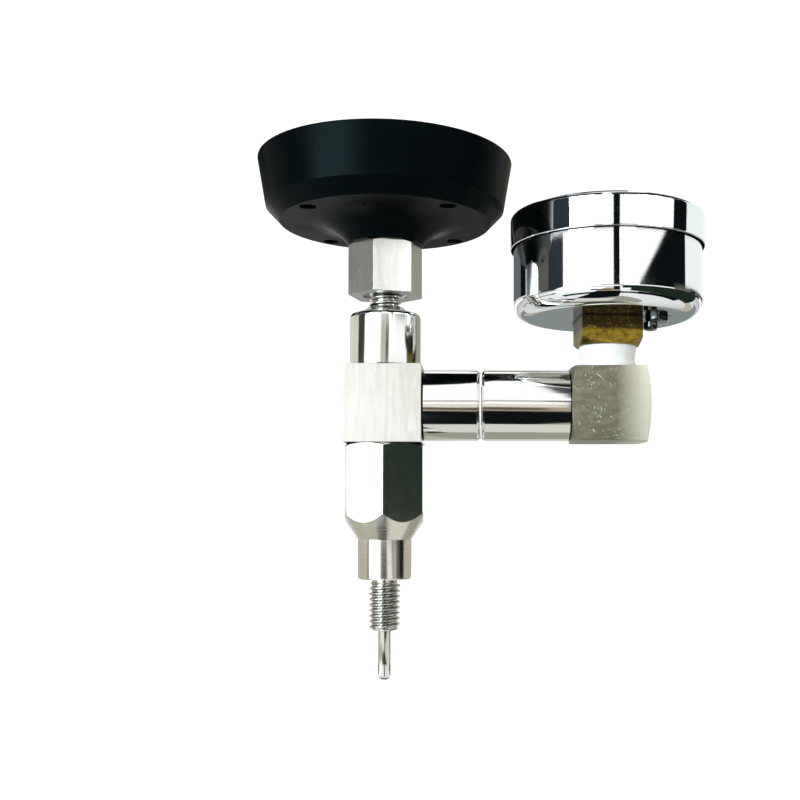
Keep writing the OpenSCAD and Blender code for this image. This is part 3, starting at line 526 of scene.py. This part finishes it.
def finished_mesh(name, bm, sharp_deg):
    bmesh.ops.remove_doubles(bm, verts=bm.verts, dist=1e-7)
    bmesh.ops.dissolve_degenerate(bm, dist=1e-8, edges=bm.edges)
    bmesh.ops.recalc_face_normals(bm, faces=bm.faces)
    mesh = bpy.data.meshes.new(name)
    bm.to_mesh(mesh)
    bm.free()
    mesh.polygons.foreach_set("use_smooth", [True] * len(mesh.polygons))
    mesh.set_sharp_from_angle(angle=math.radians(sharp_deg))
    return mesh


def sweep(bm, outline, angles, centre=(0.0, 0.0), closed=True):
    """Adds a surface swept round a vertical axis. outline(angle) is its (radius, z) line in mm."""
    rings = []
    for a in angles:
        rings.append([bm.verts.new(((centre[0] + r * math.sin(a)) * MM,
                                    (centre[1] - r * math.cos(a)) * MM, z * MM))
                      for r, z in outline(a)])
    count = len(rings[0])
    for i, ring in enumerate(rings):
        after = rings[(i + 1) % len(rings)]
        for j in range(count if closed else count - 1):
            k = (j + 1) % count
            bm.faces.new((ring[j], after[j], after[k], ring[k]))


def turned_mesh(name, outline, angles, centre=(0.0, 0.0), sharp_deg=27):
    bm = bmesh.new()
    sweep(bm, outline, angles, centre)
    return finished_mesh(name, bm, sharp_deg)


def even_angles(count):
    return [TAU * i / count for i in range(count)]


def rounded_corner(centre, radius, start_deg, end_deg, steps):
    """(radius, z) points on an arc. 0 degrees points outwards and 90 upwards."""
    points = []
    for i in range(steps + 1):
        a = math.radians(start_deg + (end_deg - start_deg) * i / steps)
        points.append((centre[0] + radius * math.cos(a), centre[1] + radius * math.sin(a)))
    return points


# Screw threads

PITCH = 1.0
THREAD_R = 2.95
THREAD_DEPTH = 0.6
ROOT_R = THREAD_R - THREAD_DEPTH
LEVELS_PER_TURN = 20
FLANK_FROM = 0.12
CREST_FROM = 0.43
ROOT_ROUNDING = 0.25


def thread_radius(z, angle):
    """Radius of a right-hand thread with flat crests and rounded roots."""
    phase = (z / PITCH - angle / TAU) % 1.0
    from_crest = abs(phase - 0.5)
    rise = (0.5 - FLANK_FROM - from_crest) / (CREST_FROM - FLANK_FROM)
    rise = min(1.0, max(0.0, rise))
    return ROOT_R + THREAD_DEPTH * rise * (1.0 - ROOT_ROUNDING * (1.0 - rise) * (1.0 - rise))


def thread_rows(low, high, low_limit, high_limit, angle):
    """(radius, z) points of a thread. The limits are the radii at its two ends."""
    rows = round((high - low) / PITCH * LEVELS_PER_TURN)
    points = []
    for i in range(rows + 1):
        z = low + (high - low) * i / rows
        limit = min(low_limit + (z - low), high_limit + (high - z))
        points.append((min(thread_radius(z, angle), max(limit, min(low_limit, high_limit))), z))
    return points


# Lower body: hexagon, cone, spigot and threaded nozzle

HEX_AF = 14.0
HEX_TURN_DEG = 2.4
HEX_CORNER_ROUND = 0.35
HEX_CORNER_CUT = 0.16 * HEX_CORNER_ROUND
HEX_CORNER_DEG = math.degrees(HEX_CORNER_ROUND / HEX_AF * 2)
HEX_SIDE_STEPS = 18
SPIGOT_EDGE = 0.25
TOP_CHAMFER_DEG = 30.0
TOP_FLAT_R = HEX_AF / 2 - 0.1
RELIEF_W = 0.55
NOZZLE_LEAD = 0.1
NOZZLE_BORE_R = 1.45
BODY_BORE_R = 3.0
SEAT_Z = 2.0
TAIL_BORE_R = 4.05
TAIL_BORE_L = 7.2


def hex_radius(angle):
    """Distance from the axis to the hexagon's wall, with slightly rounded corners."""
    off = (math.degrees(angle) - HEX_TURN_DEG) % 60 - 30
    wall = HEX_AF / 2 / math.cos(math.radians(off))
    near_corner = 30 - abs(off)
    if near_corner < HEX_CORNER_DEG:
        wall -= HEX_CORNER_CUT * (1 - near_corner / HEX_CORNER_DEG) ** 2
    return wall


def hex_angles():
    """Angles all round, close together at the corners and even along the sides."""
    reach = HEX_CORNER_DEG
    offsets = [-reach, -reach / 2, 0.0, reach / 2]
    offsets += [reach + (60 - 2 * reach) * i / HEX_SIDE_STEPS for i in range(HEX_SIDE_STEPS)]
    return [math.radians(HEX_TURN_DEG + 60 * side + off) for side in range(6) for off in offsets]


def lower_body_outline(angle):
    low, high = box_mm("lower_body")
    wall = hex_radius(angle)
    cone_top = SPIGOT_L + (wall - SPIGOT_R) / math.tan(math.radians(CONE_DEG))
    chamfer = high.z - (wall - TOP_FLAT_R) * math.tan(math.radians(TOP_CHAMFER_DEG))
    seat_top = SEAT_Z + BODY_BORE_R - NOZZLE_BORE_R
    points = [(NOZZLE_BORE_R, low.z)]
    points += thread_rows(low.z, -RELIEF_W, ROOT_R - NOZZLE_LEAD, ROOT_R, angle)
    points += [(ROOT_R, 0.0), (SPIGOT_R - SPIGOT_EDGE, 0.0), (SPIGOT_R, SPIGOT_EDGE),
               (SPIGOT_R, SPIGOT_L), (wall, cone_top), (wall, chamfer), (TOP_FLAT_R, high.z),
               (TAIL_BORE_R, high.z), (TAIL_BORE_R, high.z - TAIL_BORE_L),
               (BODY_BORE_R, high.z - TAIL_BORE_L), (BODY_BORE_R, seat_top),
               (NOZZLE_BORE_R, SEAT_Z)]
    return points


def make_lower_body():
    mesh = turned_mesh("lower_body_turned", lower_body_outline, hex_angles(), sharp_deg=25)
    piece = make_piece("lower_body_turned", mesh, "brushed_stainless", "valve_body", "lower_body")
    piece.data.materials[0] = TURNED
    weigh_normals(piece)


# Spindle: needle, shank, piston and driving thread

NEEDLE_R = 1.15
NEEDLE_TIP_R = 0.8
SHANK_R = 2.2
SHANK_FROM = 3.75
PISTON_FROM = 41.3
PISTON_TO = 43.1
SEAL_GROOVE = (41.7, 42.7)
SEAL_GROOVE_R = 2.1
DRIVE_FROM = 43.6


def spindle_outline(angle):
    low, high = box_mm("spindle")
    tip = rounded_corner((NEEDLE_R - NEEDLE_TIP_R, low.z + NEEDLE_TIP_R), NEEDLE_TIP_R, -90, 0, 6)
    return [(0.0, low.z)] + tip + [
        (NEEDLE_R, SHANK_FROM), (SHANK_R, SHANK_FROM + SHANK_R - NEEDLE_R), (SHANK_R, PISTON_FROM),
        (THREAD_R, PISTON_FROM), (THREAD_R, SEAL_GROOVE[0]), (SEAL_GROOVE_R, SEAL_GROOVE[0]),
        (SEAL_GROOVE_R, SEAL_GROOVE[1]), (THREAD_R, SEAL_GROOVE[1]), (THREAD_R, PISTON_TO),
        (ROOT_R, PISTON_TO),
    ] + thread_rows(DRIVE_FROM, high.z, ROOT_R, ROOT_R, angle) + [(0.0, high.z)]


def make_spindle():
    mesh = turned_mesh("spindle_turned", spindle_outline, even_angles(60))
    piece = make_piece("spindle_turned", mesh, "brushed_stainless", "knob", "spindle")
    piece.data.materials[0] = TURNED


# Sealing tape: wound film with a waist, wrinkles and a fold

TAPE_T = 0.4
TAPE_LEAST_T = 0.05
TAPE_TURNS = 5
TAPE_ROWS = 28
TAPE_LAP = 0.03
TAPE_WAIST = 0.22
TAPE_INSET = 0.04
TAPE_FOLD_DEG = 62.0


def hump(x, width):
    return math.exp(-(x / width) ** 2)


def tape_fold(away, t):
    """Height of the folded end. away is the angle from it, and t is 0 to 1 up the tape."""
    ridge = 0.20 * hump(away, 26) * hump(t - 0.20 - away * 0.002, 0.07)
    foot = 0.12 * hump(away - 14, 18) * hump(t - 0.04, 0.06)
    return ridge + foot


def tape_wrinkle(place):
    return noise.noise(place * Vector((0.5, 0.5, 1.6))) * 0.05 + noise.noise(place * 2.2) * 0.02


def tape_outline(angle):
    low, high = box_mm("sealing_tape")
    outer = (high.x - low.x) / 2
    inner = outer - TAPE_T
    points = [(inner, low.z)]
    for i in range(TAPE_ROWS + 1):
        t = i / TAPE_ROWS
        z = low.z + (high.z - low.z) * t
        lap = TAPE_LAP * ((t * TAPE_TURNS - angle / TAU) % 1.0)
        waist = TAPE_WAIST * math.sin(math.pi * min(1.0, t * 1.15)) ** 2
        wrinkle = tape_wrinkle(Vector((math.sin(angle) * outer, math.cos(angle) * outer, z)))
        away = (math.degrees(angle) - TAPE_FOLD_DEG + 180) % 360 - 180
        r = outer - TAPE_INSET - waist + lap + wrinkle + tape_fold(away, t)
        points.append((max(inner + TAPE_LEAST_T, r), z))
    points.append((inner, high.z))
    return points


def make_tape():
    centre = middle_mm("sealing_tape")
    mesh = turned_mesh("tape_wound", tape_outline, even_angles(120), (centre.x, centre.y), 50)
    make_piece("tape_wound", mesh, "thread_tape", "gauge_arm", "sealing_tape")


# Gauge case: drawn cup with a rounded edge

CASE_EDGE_R = 3.0
CASE_WALL = 0.6
NECK_HOLE_R = 3.45


def case_outline(_angle):
    low, high = box_mm("gauge_case")
    r = (high.x - low.x) / 2
    centre = (r - CASE_EDGE_R, low.z + CASE_EDGE_R)
    outer = rounded_corner(centre, CASE_EDGE_R, -90, 0, 24)
    inner = rounded_corner(centre, CASE_EDGE_R - CASE_WALL, 0, -90, 12)
    return [(NECK_HOLE_R, low.z)] + outer + [(r, high.z), (r - CASE_WALL, high.z)] + inner + [
        (NECK_HOLE_R, low.z + CASE_WALL)]


def make_case():
    centre = middle_mm("gauge_case")
    mesh = turned_mesh("case_spun", case_outline, even_angles(180), (centre.x, centre.y), 40)
    weigh_normals(make_piece("case_spun", mesh, "case_chrome", "gauge_arm", "gauge_case"))


# Bezel with a rolled lower edge

BEZEL_BEAD_R = 0.14
BEZEL_SEAM_H = 0.6
BEZEL_TOP_R = 1.0
BEZEL_WALL = 0.5
BEZEL_LIP_T = 0.6
BEZEL_LIP = 1.9
BEZEL_LIP_EDGE = 0.25
BEZEL_STEP = 0.03
BEZEL_STEP_H = 2.2 * BEZEL_BEAD_R


def bezel_outline(_angle):
    low, high = box_mm("bezel")
    r = (high.x - low.x) / 2
    bead = rounded_corner((r - BEZEL_BEAD_R, low.z + BEZEL_BEAD_R), BEZEL_BEAD_R, -90, 25, 7)
    crown = rounded_corner((r - BEZEL_TOP_R, high.z - BEZEL_TOP_R), BEZEL_TOP_R, 0, 90, 10)
    wall = [(r - BEZEL_STEP, low.z + BEZEL_STEP_H)]
    lip = rounded_corner((r - BEZEL_LIP + BEZEL_LIP_EDGE, high.z - BEZEL_LIP_EDGE),
                         BEZEL_LIP_EDGE, 90, 180, 5)
    return [(r - BEZEL_WALL, low.z + BEZEL_SEAM_H)] + bead + wall + crown + lip + [
        (r - BEZEL_LIP, high.z - BEZEL_LIP_T), (r - BEZEL_WALL, high.z - BEZEL_LIP_T)]


def make_bezel():
    centre = middle_mm("bezel")
    mesh = turned_mesh("bezel_rolled", bezel_outline, even_angles(180), (centre.x, centre.y), 40)
    make_piece("bezel_rolled", mesh, "case_chrome", "gauge_arm", "bezel")


# Vent plug: round head and a nub beside its centre, both with soft edges

PLUG_HEAD_R = 2.15
PLUG_HEAD_T = 1.15
PLUG_NUB_R = 1.3
PLUG_EDGE_R = 0.6
PLUG_NUB_EDGE_R = 0.75
PLUG_SINK = 0.1
PLUG_STEPS = 48


def plug_button(bm, centre, radius, edge, low, high):
    """Adds a closed round button whose lower edge is rounded."""
    profile = [(0.0, high), (radius, high)]
    profile += rounded_corner((radius - edge, low + edge), edge, 0, -90, 8) + [(0.0, low)]
    sweep(bm, lambda _angle: profile, even_angles(PLUG_STEPS), (centre.x, centre.y), closed=False)


def make_plug():
    low, high = box_mm("vent_plug")
    back = box_mm("gauge_case")[0].z
    head = Vector((high.x - PLUG_HEAD_R, (low.y + high.y) / 2, 0.0))
    nub = Vector((low.x + PLUG_NUB_R, head.y, 0.0))
    bm = bmesh.new()
    plug_button(bm, head, PLUG_HEAD_R, PLUG_EDGE_R, back - PLUG_HEAD_T, back)
    plug_button(bm, nub, PLUG_NUB_R, PLUG_NUB_EDGE_R, low.z, back - PLUG_HEAD_T + PLUG_SINK)
    plug_button(bm, head, PLUG_HEAD_R / 2, PLUG_SINK, back - PLUG_SINK, high.z)
    mesh = finished_mesh("plug_button", bm, 50)
    make_piece("plug_button", mesh, "plug_rubber", "gauge_arm", "vent_plug")


# Dial marks: ticks and plain numbers

SCALE_FROM_DEG = 225.0
SCALE_SWEEP_DEG = 270.0
SCALE_TOP = 16
SCALE_R = 14.6
LONG_TICK, TICK, HALF_TICK = 2.0, 1.3, 0.8
TICK_W = 0.16
LONG_TICK_W = TICK_W * 2.2
ARC_STEPS = 90
MARK_T = 0.03
NUMBER_R = 10.2
NUMBER_SIZE = 2.7
NUMBER_STEP = 4


def scale_direction(value):
    """Direction of a scale value, seen from above with +Y up."""
    a = math.radians(SCALE_FROM_DEG - SCALE_SWEEP_DEG * value / SCALE_TOP)
    return Vector((math.cos(a), math.sin(a), 0.0))


def add_bar(bm, start, end, width, low, high):
    along = (end - start).normalized()
    side = Vector((-along.y, along.x, 0.0)) * width / 2
    corners = [start - side, end - side, end + side, start + side]
    rings = [[bm.verts.new(Vector((c.x, c.y, z)) * MM) for c in corners] for z in (low, high)]
    bm.faces.new(list(reversed(rings[0])))
    bm.faces.new(rings[1])
    for j in range(4):
        k = (j + 1) % 4
        bm.faces.new((rings[0][j], rings[0][k], rings[1][k], rings[1][j]))


def add_number(bm, text, at, low):
    """Adds a number as a thin solid, upright to someone who looks down with +Y up."""
    curve = bpy.data.curves.new("number", "FONT")
    curve.body = text
    curve.size = NUMBER_SIZE * MM
    curve.extrude = MARK_T / 2 * MM
    curve.align_x = "CENTER"
    curve.align_y = "CENTER"
    curve.resolution_u = 4
    holder = bpy.data.objects.new("number", curve)
    bpy.context.scene.collection.objects.link(holder)
    bpy.context.view_layer.update()
    mesh = bpy.data.meshes.new_from_object(holder.evaluated_get(
        bpy.context.evaluated_depsgraph_get()))
    mesh.transform(Matrix.Translation(Vector((at.x, at.y, low + MARK_T / 2)) * MM))
    bm.from_mesh(mesh)
    bpy.data.objects.remove(holder)
    bpy.data.meshes.remove(mesh)
    bpy.data.curves.remove(curve)


def make_dial_marks():
    low, high = box_mm("dial")
    centre = (low + high) / 2
    flat = Vector((centre.x, centre.y, 0.0))
    bm = bmesh.new()
    for i in range(SCALE_TOP * 2 + 1):
        major = i % (2 * NUMBER_STEP) == 0
        length = LONG_TICK if major else TICK if i % 2 == 0 else HALF_TICK
        out = scale_direction(i / 2)
        add_bar(bm, flat + out * (SCALE_R - length), flat + out * SCALE_R,
                LONG_TICK_W if major else TICK_W, high.z, high.z + MARK_T)
    for i in range(ARC_STEPS):
        a, b = (scale_direction(SCALE_TOP * k / ARC_STEPS) for k in (i, i + 1))
        add_bar(bm, flat + a * SCALE_R, flat + b * SCALE_R, TICK_W, high.z, high.z + MARK_T)
    for value in range(0, SCALE_TOP + 1, NUMBER_STEP):
        add_number(bm, str(value), flat + scale_direction(value) * NUMBER_R, high.z)
    mesh = bpy.data.meshes.new("dial_marks")
    bm.to_mesh(mesh)
    bm.free()
    make_piece("dial_marks", mesh, "pointer_black", "gauge_arm")


# Stage: white surroundings, floor, and cards that only reflections see

WORLD_SEEN = 1.16
WORLD_LIGHT = 0.5
FLOOR_COLOR = (0.92, 0.92, 0.92)
FLOOR_GLOW = 0.57
FLOOR_DROP = 0.05 * MM
FLOOR_SIZE = 4.0


def make_world():
    """White to the camera, mirrors and glass, and softer as a light."""
    world = bpy.data.worlds.new("studio")
    bpy.context.scene.world = world
    world.use_nodes = True
    tree = world.node_tree
    path = tree.nodes.new("ShaderNodeLightPath")
    seen = path.outputs["Is Camera Ray"]
    for name in ("Is Glossy Ray", "Is Transmission Ray"):
        either = tree.nodes.new("ShaderNodeMath")
        either.operation = "MAXIMUM"
        tree.links.new(seen, either.inputs[0])
        tree.links.new(path.outputs[name], either.inputs[1])
        seen = either.outputs["Value"]
    level = tree.nodes.new("ShaderNodeMapRange")
    level.inputs["To Min"].default_value = WORLD_LIGHT
    level.inputs["To Max"].default_value = WORLD_SEEN
    tree.links.new(seen, level.inputs["Value"])
    background = tree.nodes["Background"]
    background.inputs["Color"].default_value = (1.0, 1.0, 1.0, 1.0)
    tree.links.new(level.outputs["Result"], background.inputs["Strength"])


def matte(name, color):
    look = Look(name, color, 0.0, 1.0)
    look.set("Specular IOR Level", 0.0)
    return look


def link_mesh(name, verts, faces, material):
    mesh = bpy.data.meshes.new(name)
    mesh.from_pydata([tuple(v) for v in verts], [], faces)
    mesh.update()
    mesh.materials.append(material)
    made = bpy.data.objects.new(name, mesh)
    bpy.context.scene.collection.objects.link(made)
    return made


def make_floor():
    """Pale floor that the camera sees as white and the mirrors a little darker."""
    look = matte("floor", FLOOR_COLOR)
    path = look.add("ShaderNodeLightPath")
    seen = look.math("MAXIMUM", path.outputs["Is Camera Ray"], path.outputs["Is Transmission Ray"])
    look.set("Emission Color", (1.0, 1.0, 1.0, 1.0))
    look.to("Emission Strength", look.math("MULTIPLY", seen, FLOOR_GLOW))
    z = cad_low.z - FLOOR_DROP
    s = FLOOR_SIZE
    floor = link_mesh("floor", [(-s, -s, z), (s, -s, z), (s, s, z), (-s, s, z)], [(0, 1, 2, 3)],
                      look.material)


CARD_STEPS = 12
CARD_LIFT = 0.3


def card_material(name, color):
    """Black that glows in one colour."""
    look = matte(name, (0.0, 0.0, 0.0))
    look.set("Emission Color", (*color, 1.0))
    look.set("Emission Strength", 1.0)
    return look.material


def make_card(name, verts, faces, color):
    """Surface that only reflections see. Its points are in metres."""
    card = link_mesh(name, verts, faces, card_material(name, color))
    card.visible_camera = False
    card.visible_diffuse = False
    card.visible_shadow = False
    card.visible_transmission = False
    card.visible_volume_scatter = False


def between(ends, t):
    return ends[0] + (ends[1] - ends[0]) * t


def on_circle(centre_x, radius, degrees):
    """X and Y in metres of a point round (centre_x, 0), given in mm and degrees."""
    a = math.radians(degrees)
    return (centre_x + radius * math.sin(a)) * MM, -radius * math.cos(a) * MM


def ribbon_card(name, pairs, color):
    """Card through a row of point pairs."""
    verts = [point for pair in pairs for point in pair]
    faces = [(i, i + 2, i + 3, i + 1) for i in range(0, len(verts) - 2, 2)]
    make_card(name, verts, faces, color)


def curved_card(name, centre_x, reach, angles, heights, color):
    """Upright card round (centre_x, 0), in mm and degrees.

    heights is its z range, or a pair of ranges, one for each end.
    """
    first, last = heights if isinstance(heights[0], tuple) else (heights, heights)
    pairs = []
    for i in range(CARD_STEPS + 1):
        t = i / CARD_STEPS
        x, y = on_circle(centre_x, reach, between(angles, t))
        pairs.append([(x, y, between(ends, t) * MM) for ends in zip(first, last)])
    ribbon_card(name, pairs, color)


def band(centre_x, reach, heights, *cards):
    """Upright cards side by side. Each is a name, its first and last angle and a colour."""
    for name, start, end, color in cards:
        curved_card(name, centre_x, reach, (start, end), heights, color)


def floor_sector(name, angles, radii, color, centre_x=0.0):
    """Flat card on the floor, between two angles and two radii round (centre_x, 0)."""
    z = cad_low.z + 2 * CARD_LIFT * MM
    pairs = []
    for i in range(CARD_STEPS + 1):
        degrees = between(angles, i / CARD_STEPS)
        pairs.append([(*on_circle(centre_x, r, degrees), z) for r in radii])
    ribbon_card(name, pairs, color)


def flat_card(name, corners, height, color):
    verts = [(x * MM, y * MM, height * MM) for x, y in corners]
    make_card(name, verts, [tuple(range(len(verts)))], color)


BLACK = (0.004, 0.006, 0.007)
HEX_BLACK = (0.014, 0.025, 0.017)
CONE_DARK = (0.02, 0.018, 0.012)
ARM_SHADE = (0.022, 0.027, 0.025)
SLATE = (0.026, 0.036, 0.046)
DARK_BROWN = (0.030, 0.024, 0.018)
OLIVE = (0.045, 0.045, 0.025)
SOFT_OLIVE = (0.11, 0.11, 0.09)
BROWN = (0.13, 0.105, 0.075)
GREY = (0.13, 0.13, 0.11)
DULL_BLUE = (0.12, 0.15, 0.16)
PALE_BLUE = (0.24, 0.275, 0.27)
WARM_GREY = (0.33, 0.33, 0.26)
CONE_RIGHT = (0.35, 0.35, 0.285)
DARK_TAN = (0.45, 0.36, 0.27)
CONE_LEFT = (0.48, 0.47, 0.38)
BEIGE = (0.50, 0.47, 0.39)
LIGHT_GREY = (0.70, 0.71, 0.63)
CREAM = (0.72, 0.72, 0.64)
TAN = (0.82, 0.79, 0.68)
PALE_GREEN = (0.93, 1.0, 0.98)
WHITE = (1.2, 1.2, 1.2)
HUB_WHITE = (4.0, 4.0, 4.0)

# Reach of the upright cards, and the heights at which the part mirrors them, in mm
FAR, NEAR, CLOSE = 500.0, 250.0, 150.0
WALL_BAND = (143, 195)
BEZEL_BAND = (195, 330)
GAUGE_BAND = (143.5, 330)
CEILING_BAND = (340, 1200)
GLAND_BAND = (100, 143)
TEE_BAND = (56, 99)
SPIGOT_BAND = (-17, 5)


def make_gauge_cards():
    """Bands in the gauge, the hub and the knob."""
    x = middle_mm("gauge_case").x
    band(x, FAR, WALL_BAND, ("wall_edge", -187, -135, DULL_BLUE),
         ("wall_line", -135, -121, BLACK))
    band(0, FAR, WALL_BAND, ("left_olive", -121, -79, SOFT_OLIVE),
         ("left_slate", -79, -57, SLATE))
    band(x, FAR, BEZEL_BAND, ("rim_black", -187, -87, BLACK), ("rim_grey", -87, -80, GREY),
         ("rim_slate", -80, -50, SLATE))
    curved_card("gauge_line", x, 100, (0.3, 7.1), (67, 104), BLACK)
    curved_card("gauge_line_foot", x, 100, (0.3, 7.1), (12, 49), BLACK)
    curved_card("gauge_slant", x, FAR, (31, 76), ((145, 152), (145, 197)), BLACK)
    band(x, FAR, GAUGE_BAND, ("gauge_black", 76, 98, BLACK),
         ("gauge_right_edge", 98, 178, PALE_GREEN))
    curved_card("foot_low", x, FAR, (31, 98), (-17, 97), BLACK)
    floor_sector("foot_right", (31, 98), (80, 490), BLACK, x)
    floor_sector("foot_ring", (-64, 31), (84, 112), BLACK, x)
    curved_card("hub_white", 0, FAR, (10, 31), (146, 200), HUB_WHITE)
    curved_card("hub_right", 0, 70, (122, 168), (48, 97), WARM_GREY)
    band(x, FAR, CEILING_BAND, ("ceiling_left", -140, -13, SLATE), ("ceiling_right", 9, 120, SLATE))
    curved_card("ceiling_near", x, 100, (-1, 12), (104, 230), SLATE)
    flat_card("floor_blue", [(-60, 150), (240, 150), (240, 700), (-60, 700)],
              cad_low.z / MM + CARD_LIFT, PALE_BLUE)


def make_gland_cards():
    """Bands in the gland, and the tee's dark sides."""
    band(0, FAR, GLAND_BAND,
         ("gland_edge", -175, -93, LIGHT_GREY), ("gland_left", -92, -64.6, OLIVE),
         ("gland_beige", -9, 7, BEIGE), ("gland_line", 7, 16.7, DARK_BROWN),
         ("gland_grey", 79, 106, GREY), ("gland_black", 106, 118, BLACK),
         ("gland_right", 118, 178, GREY))
    band(0, FAR, TEE_BAND, ("tee_left", -130, -68, DARK_BROWN), ("tee_right", 68, 130, DARK_BROWN))


def make_body_cards():
    """Bands in the hexagon, the spigot, the cone and the needle."""
    curved_card("hex_dark", 0, NEAR, (20, 100), (2, 68), HEX_BLACK)
    curved_card("hex_near", 0, 120, (38, 105), (5.5, 52), HEX_BLACK)
    band(0, CLOSE, SPIGOT_BAND,
         ("spigot_left", -150, -72, BEIGE), ("spigot_dark", -72, -64, DARK_BROWN),
         ("spigot_olive", -11.6, 14.8, BROWN), ("spigot_pale", 38, 56, BEIGE),
         ("spigot_grey", 56, 70, GREY), ("spigot_black", 70, 93, BLACK),
         ("spigot_right", 93, 185, BEIGE))
    floor_sector("needle_left_floor", (-165, -97), (1.5, 11.8), DARK_BROWN)
    floor_sector("needle_right_floor", (99, 165), (1.5, 11.8), DARK_BROWN)
    floor_sector("needle_white", (-97, -32), (1.5, 12), WHITE)
    floor_sector("needle_line", (1, 14), (1.5, 9), BLACK)
    floor_sector("needle_line_far", (1, 14), (20, 80), BLACK)
    floor_sector("cone_front", (-32, 50), (9, 20), CONE_DARK)
    floor_sector("cone_front_left", (-75, -32), (12.2, 28), CONE_LEFT)
    floor_sector("cone_left", (-195, -75), (12.2, 70), CONE_LEFT)
    floor_sector("cone_right", (50, 165), (12.2, 70), CONE_RIGHT)


# Edges of the floor cards before the arm, from under it outwards: y, left x and right x, in mm
ARM_EDGES = ((4, 9, 42), (-24, 3, 47), (-126, -3, 62), (-300, -14, 84), (-650, -45, 120))
ARM_SHADE_Z = 200.0


def make_arm_cards():
    """Bands on the floor and a wall before the arm, and a dark shade high above it."""
    floor = cad_low.z / MM + CARD_LIFT
    cards = (("arm_cream", floor + 3 * CARD_LIFT, CREAM), ("arm_dark", floor, BLACK),
             ("arm_brown", floor, DARK_TAN), ("arm_tan", floor, TAN))
    for (name, z, color), near, far in zip(cards, ARM_EDGES, ARM_EDGES[1:]):
        y, left, right = near
        far_y, far_left, far_right = far
        flat_card(name, [(far_left, far_y), (far_right, far_y), (right, y), (left, y)], z, color)
    curved_card("arm_wall", 18, 650, (-6, 9), (-18, 42), TAN)
    flat_card("arm_shade", [(-5, -27), (70, -27), (70, 110), (-5, 110)], ARM_SHADE_Z, ARM_SHADE)


def area_light(name, at, target, size, power, color=(1.0, 1.0, 1.0)):
    """Rectangular lamp that faces its target. Places and sizes are in metres."""
    data = bpy.data.lights.new(name, "AREA")
    data.color = color
    data.shape = "RECTANGLE"
    data.size, data.size_y = size
    data.energy = power
    lamp = bpy.data.objects.new(name, data)
    lamp.location = at
    lamp.rotation_euler = (Vector(target) - Vector(at)).to_track_quat("-Z", "Y").to_euler()
    bpy.context.scene.collection.objects.link(lamp)


def make_lights():
    """Two soft lamps from above, and a low cool one that draws the knob's wall."""
    centre = (cad_low + cad_high) / 2
    area_light("key", (-0.42, -0.60, 0.42), centre, size=(0.45, 0.45), power=3.2)
    area_light("fill", (0.52, -0.47, 0.52), centre, size=(0.40, 0.40), power=2.3)
    area_light("strip", (-0.33, -0.38, 0.06), (0.0, 0.0, 0.07), size=(0.34, 0.20), power=1.8,
               color=(0.72, 1.0, 1.0))


bpy.context.scene.view_settings.view_transform = "Standard"

make_camera()
dress_nodes()
make_lower_body()
make_spindle()
make_tape()
make_case()
make_bezel()
make_plug()
make_dial_marks()
make_world()
make_floor()
make_gauge_cards()
make_gland_cards()
make_body_cards()
make_arm_cards()
make_lights()
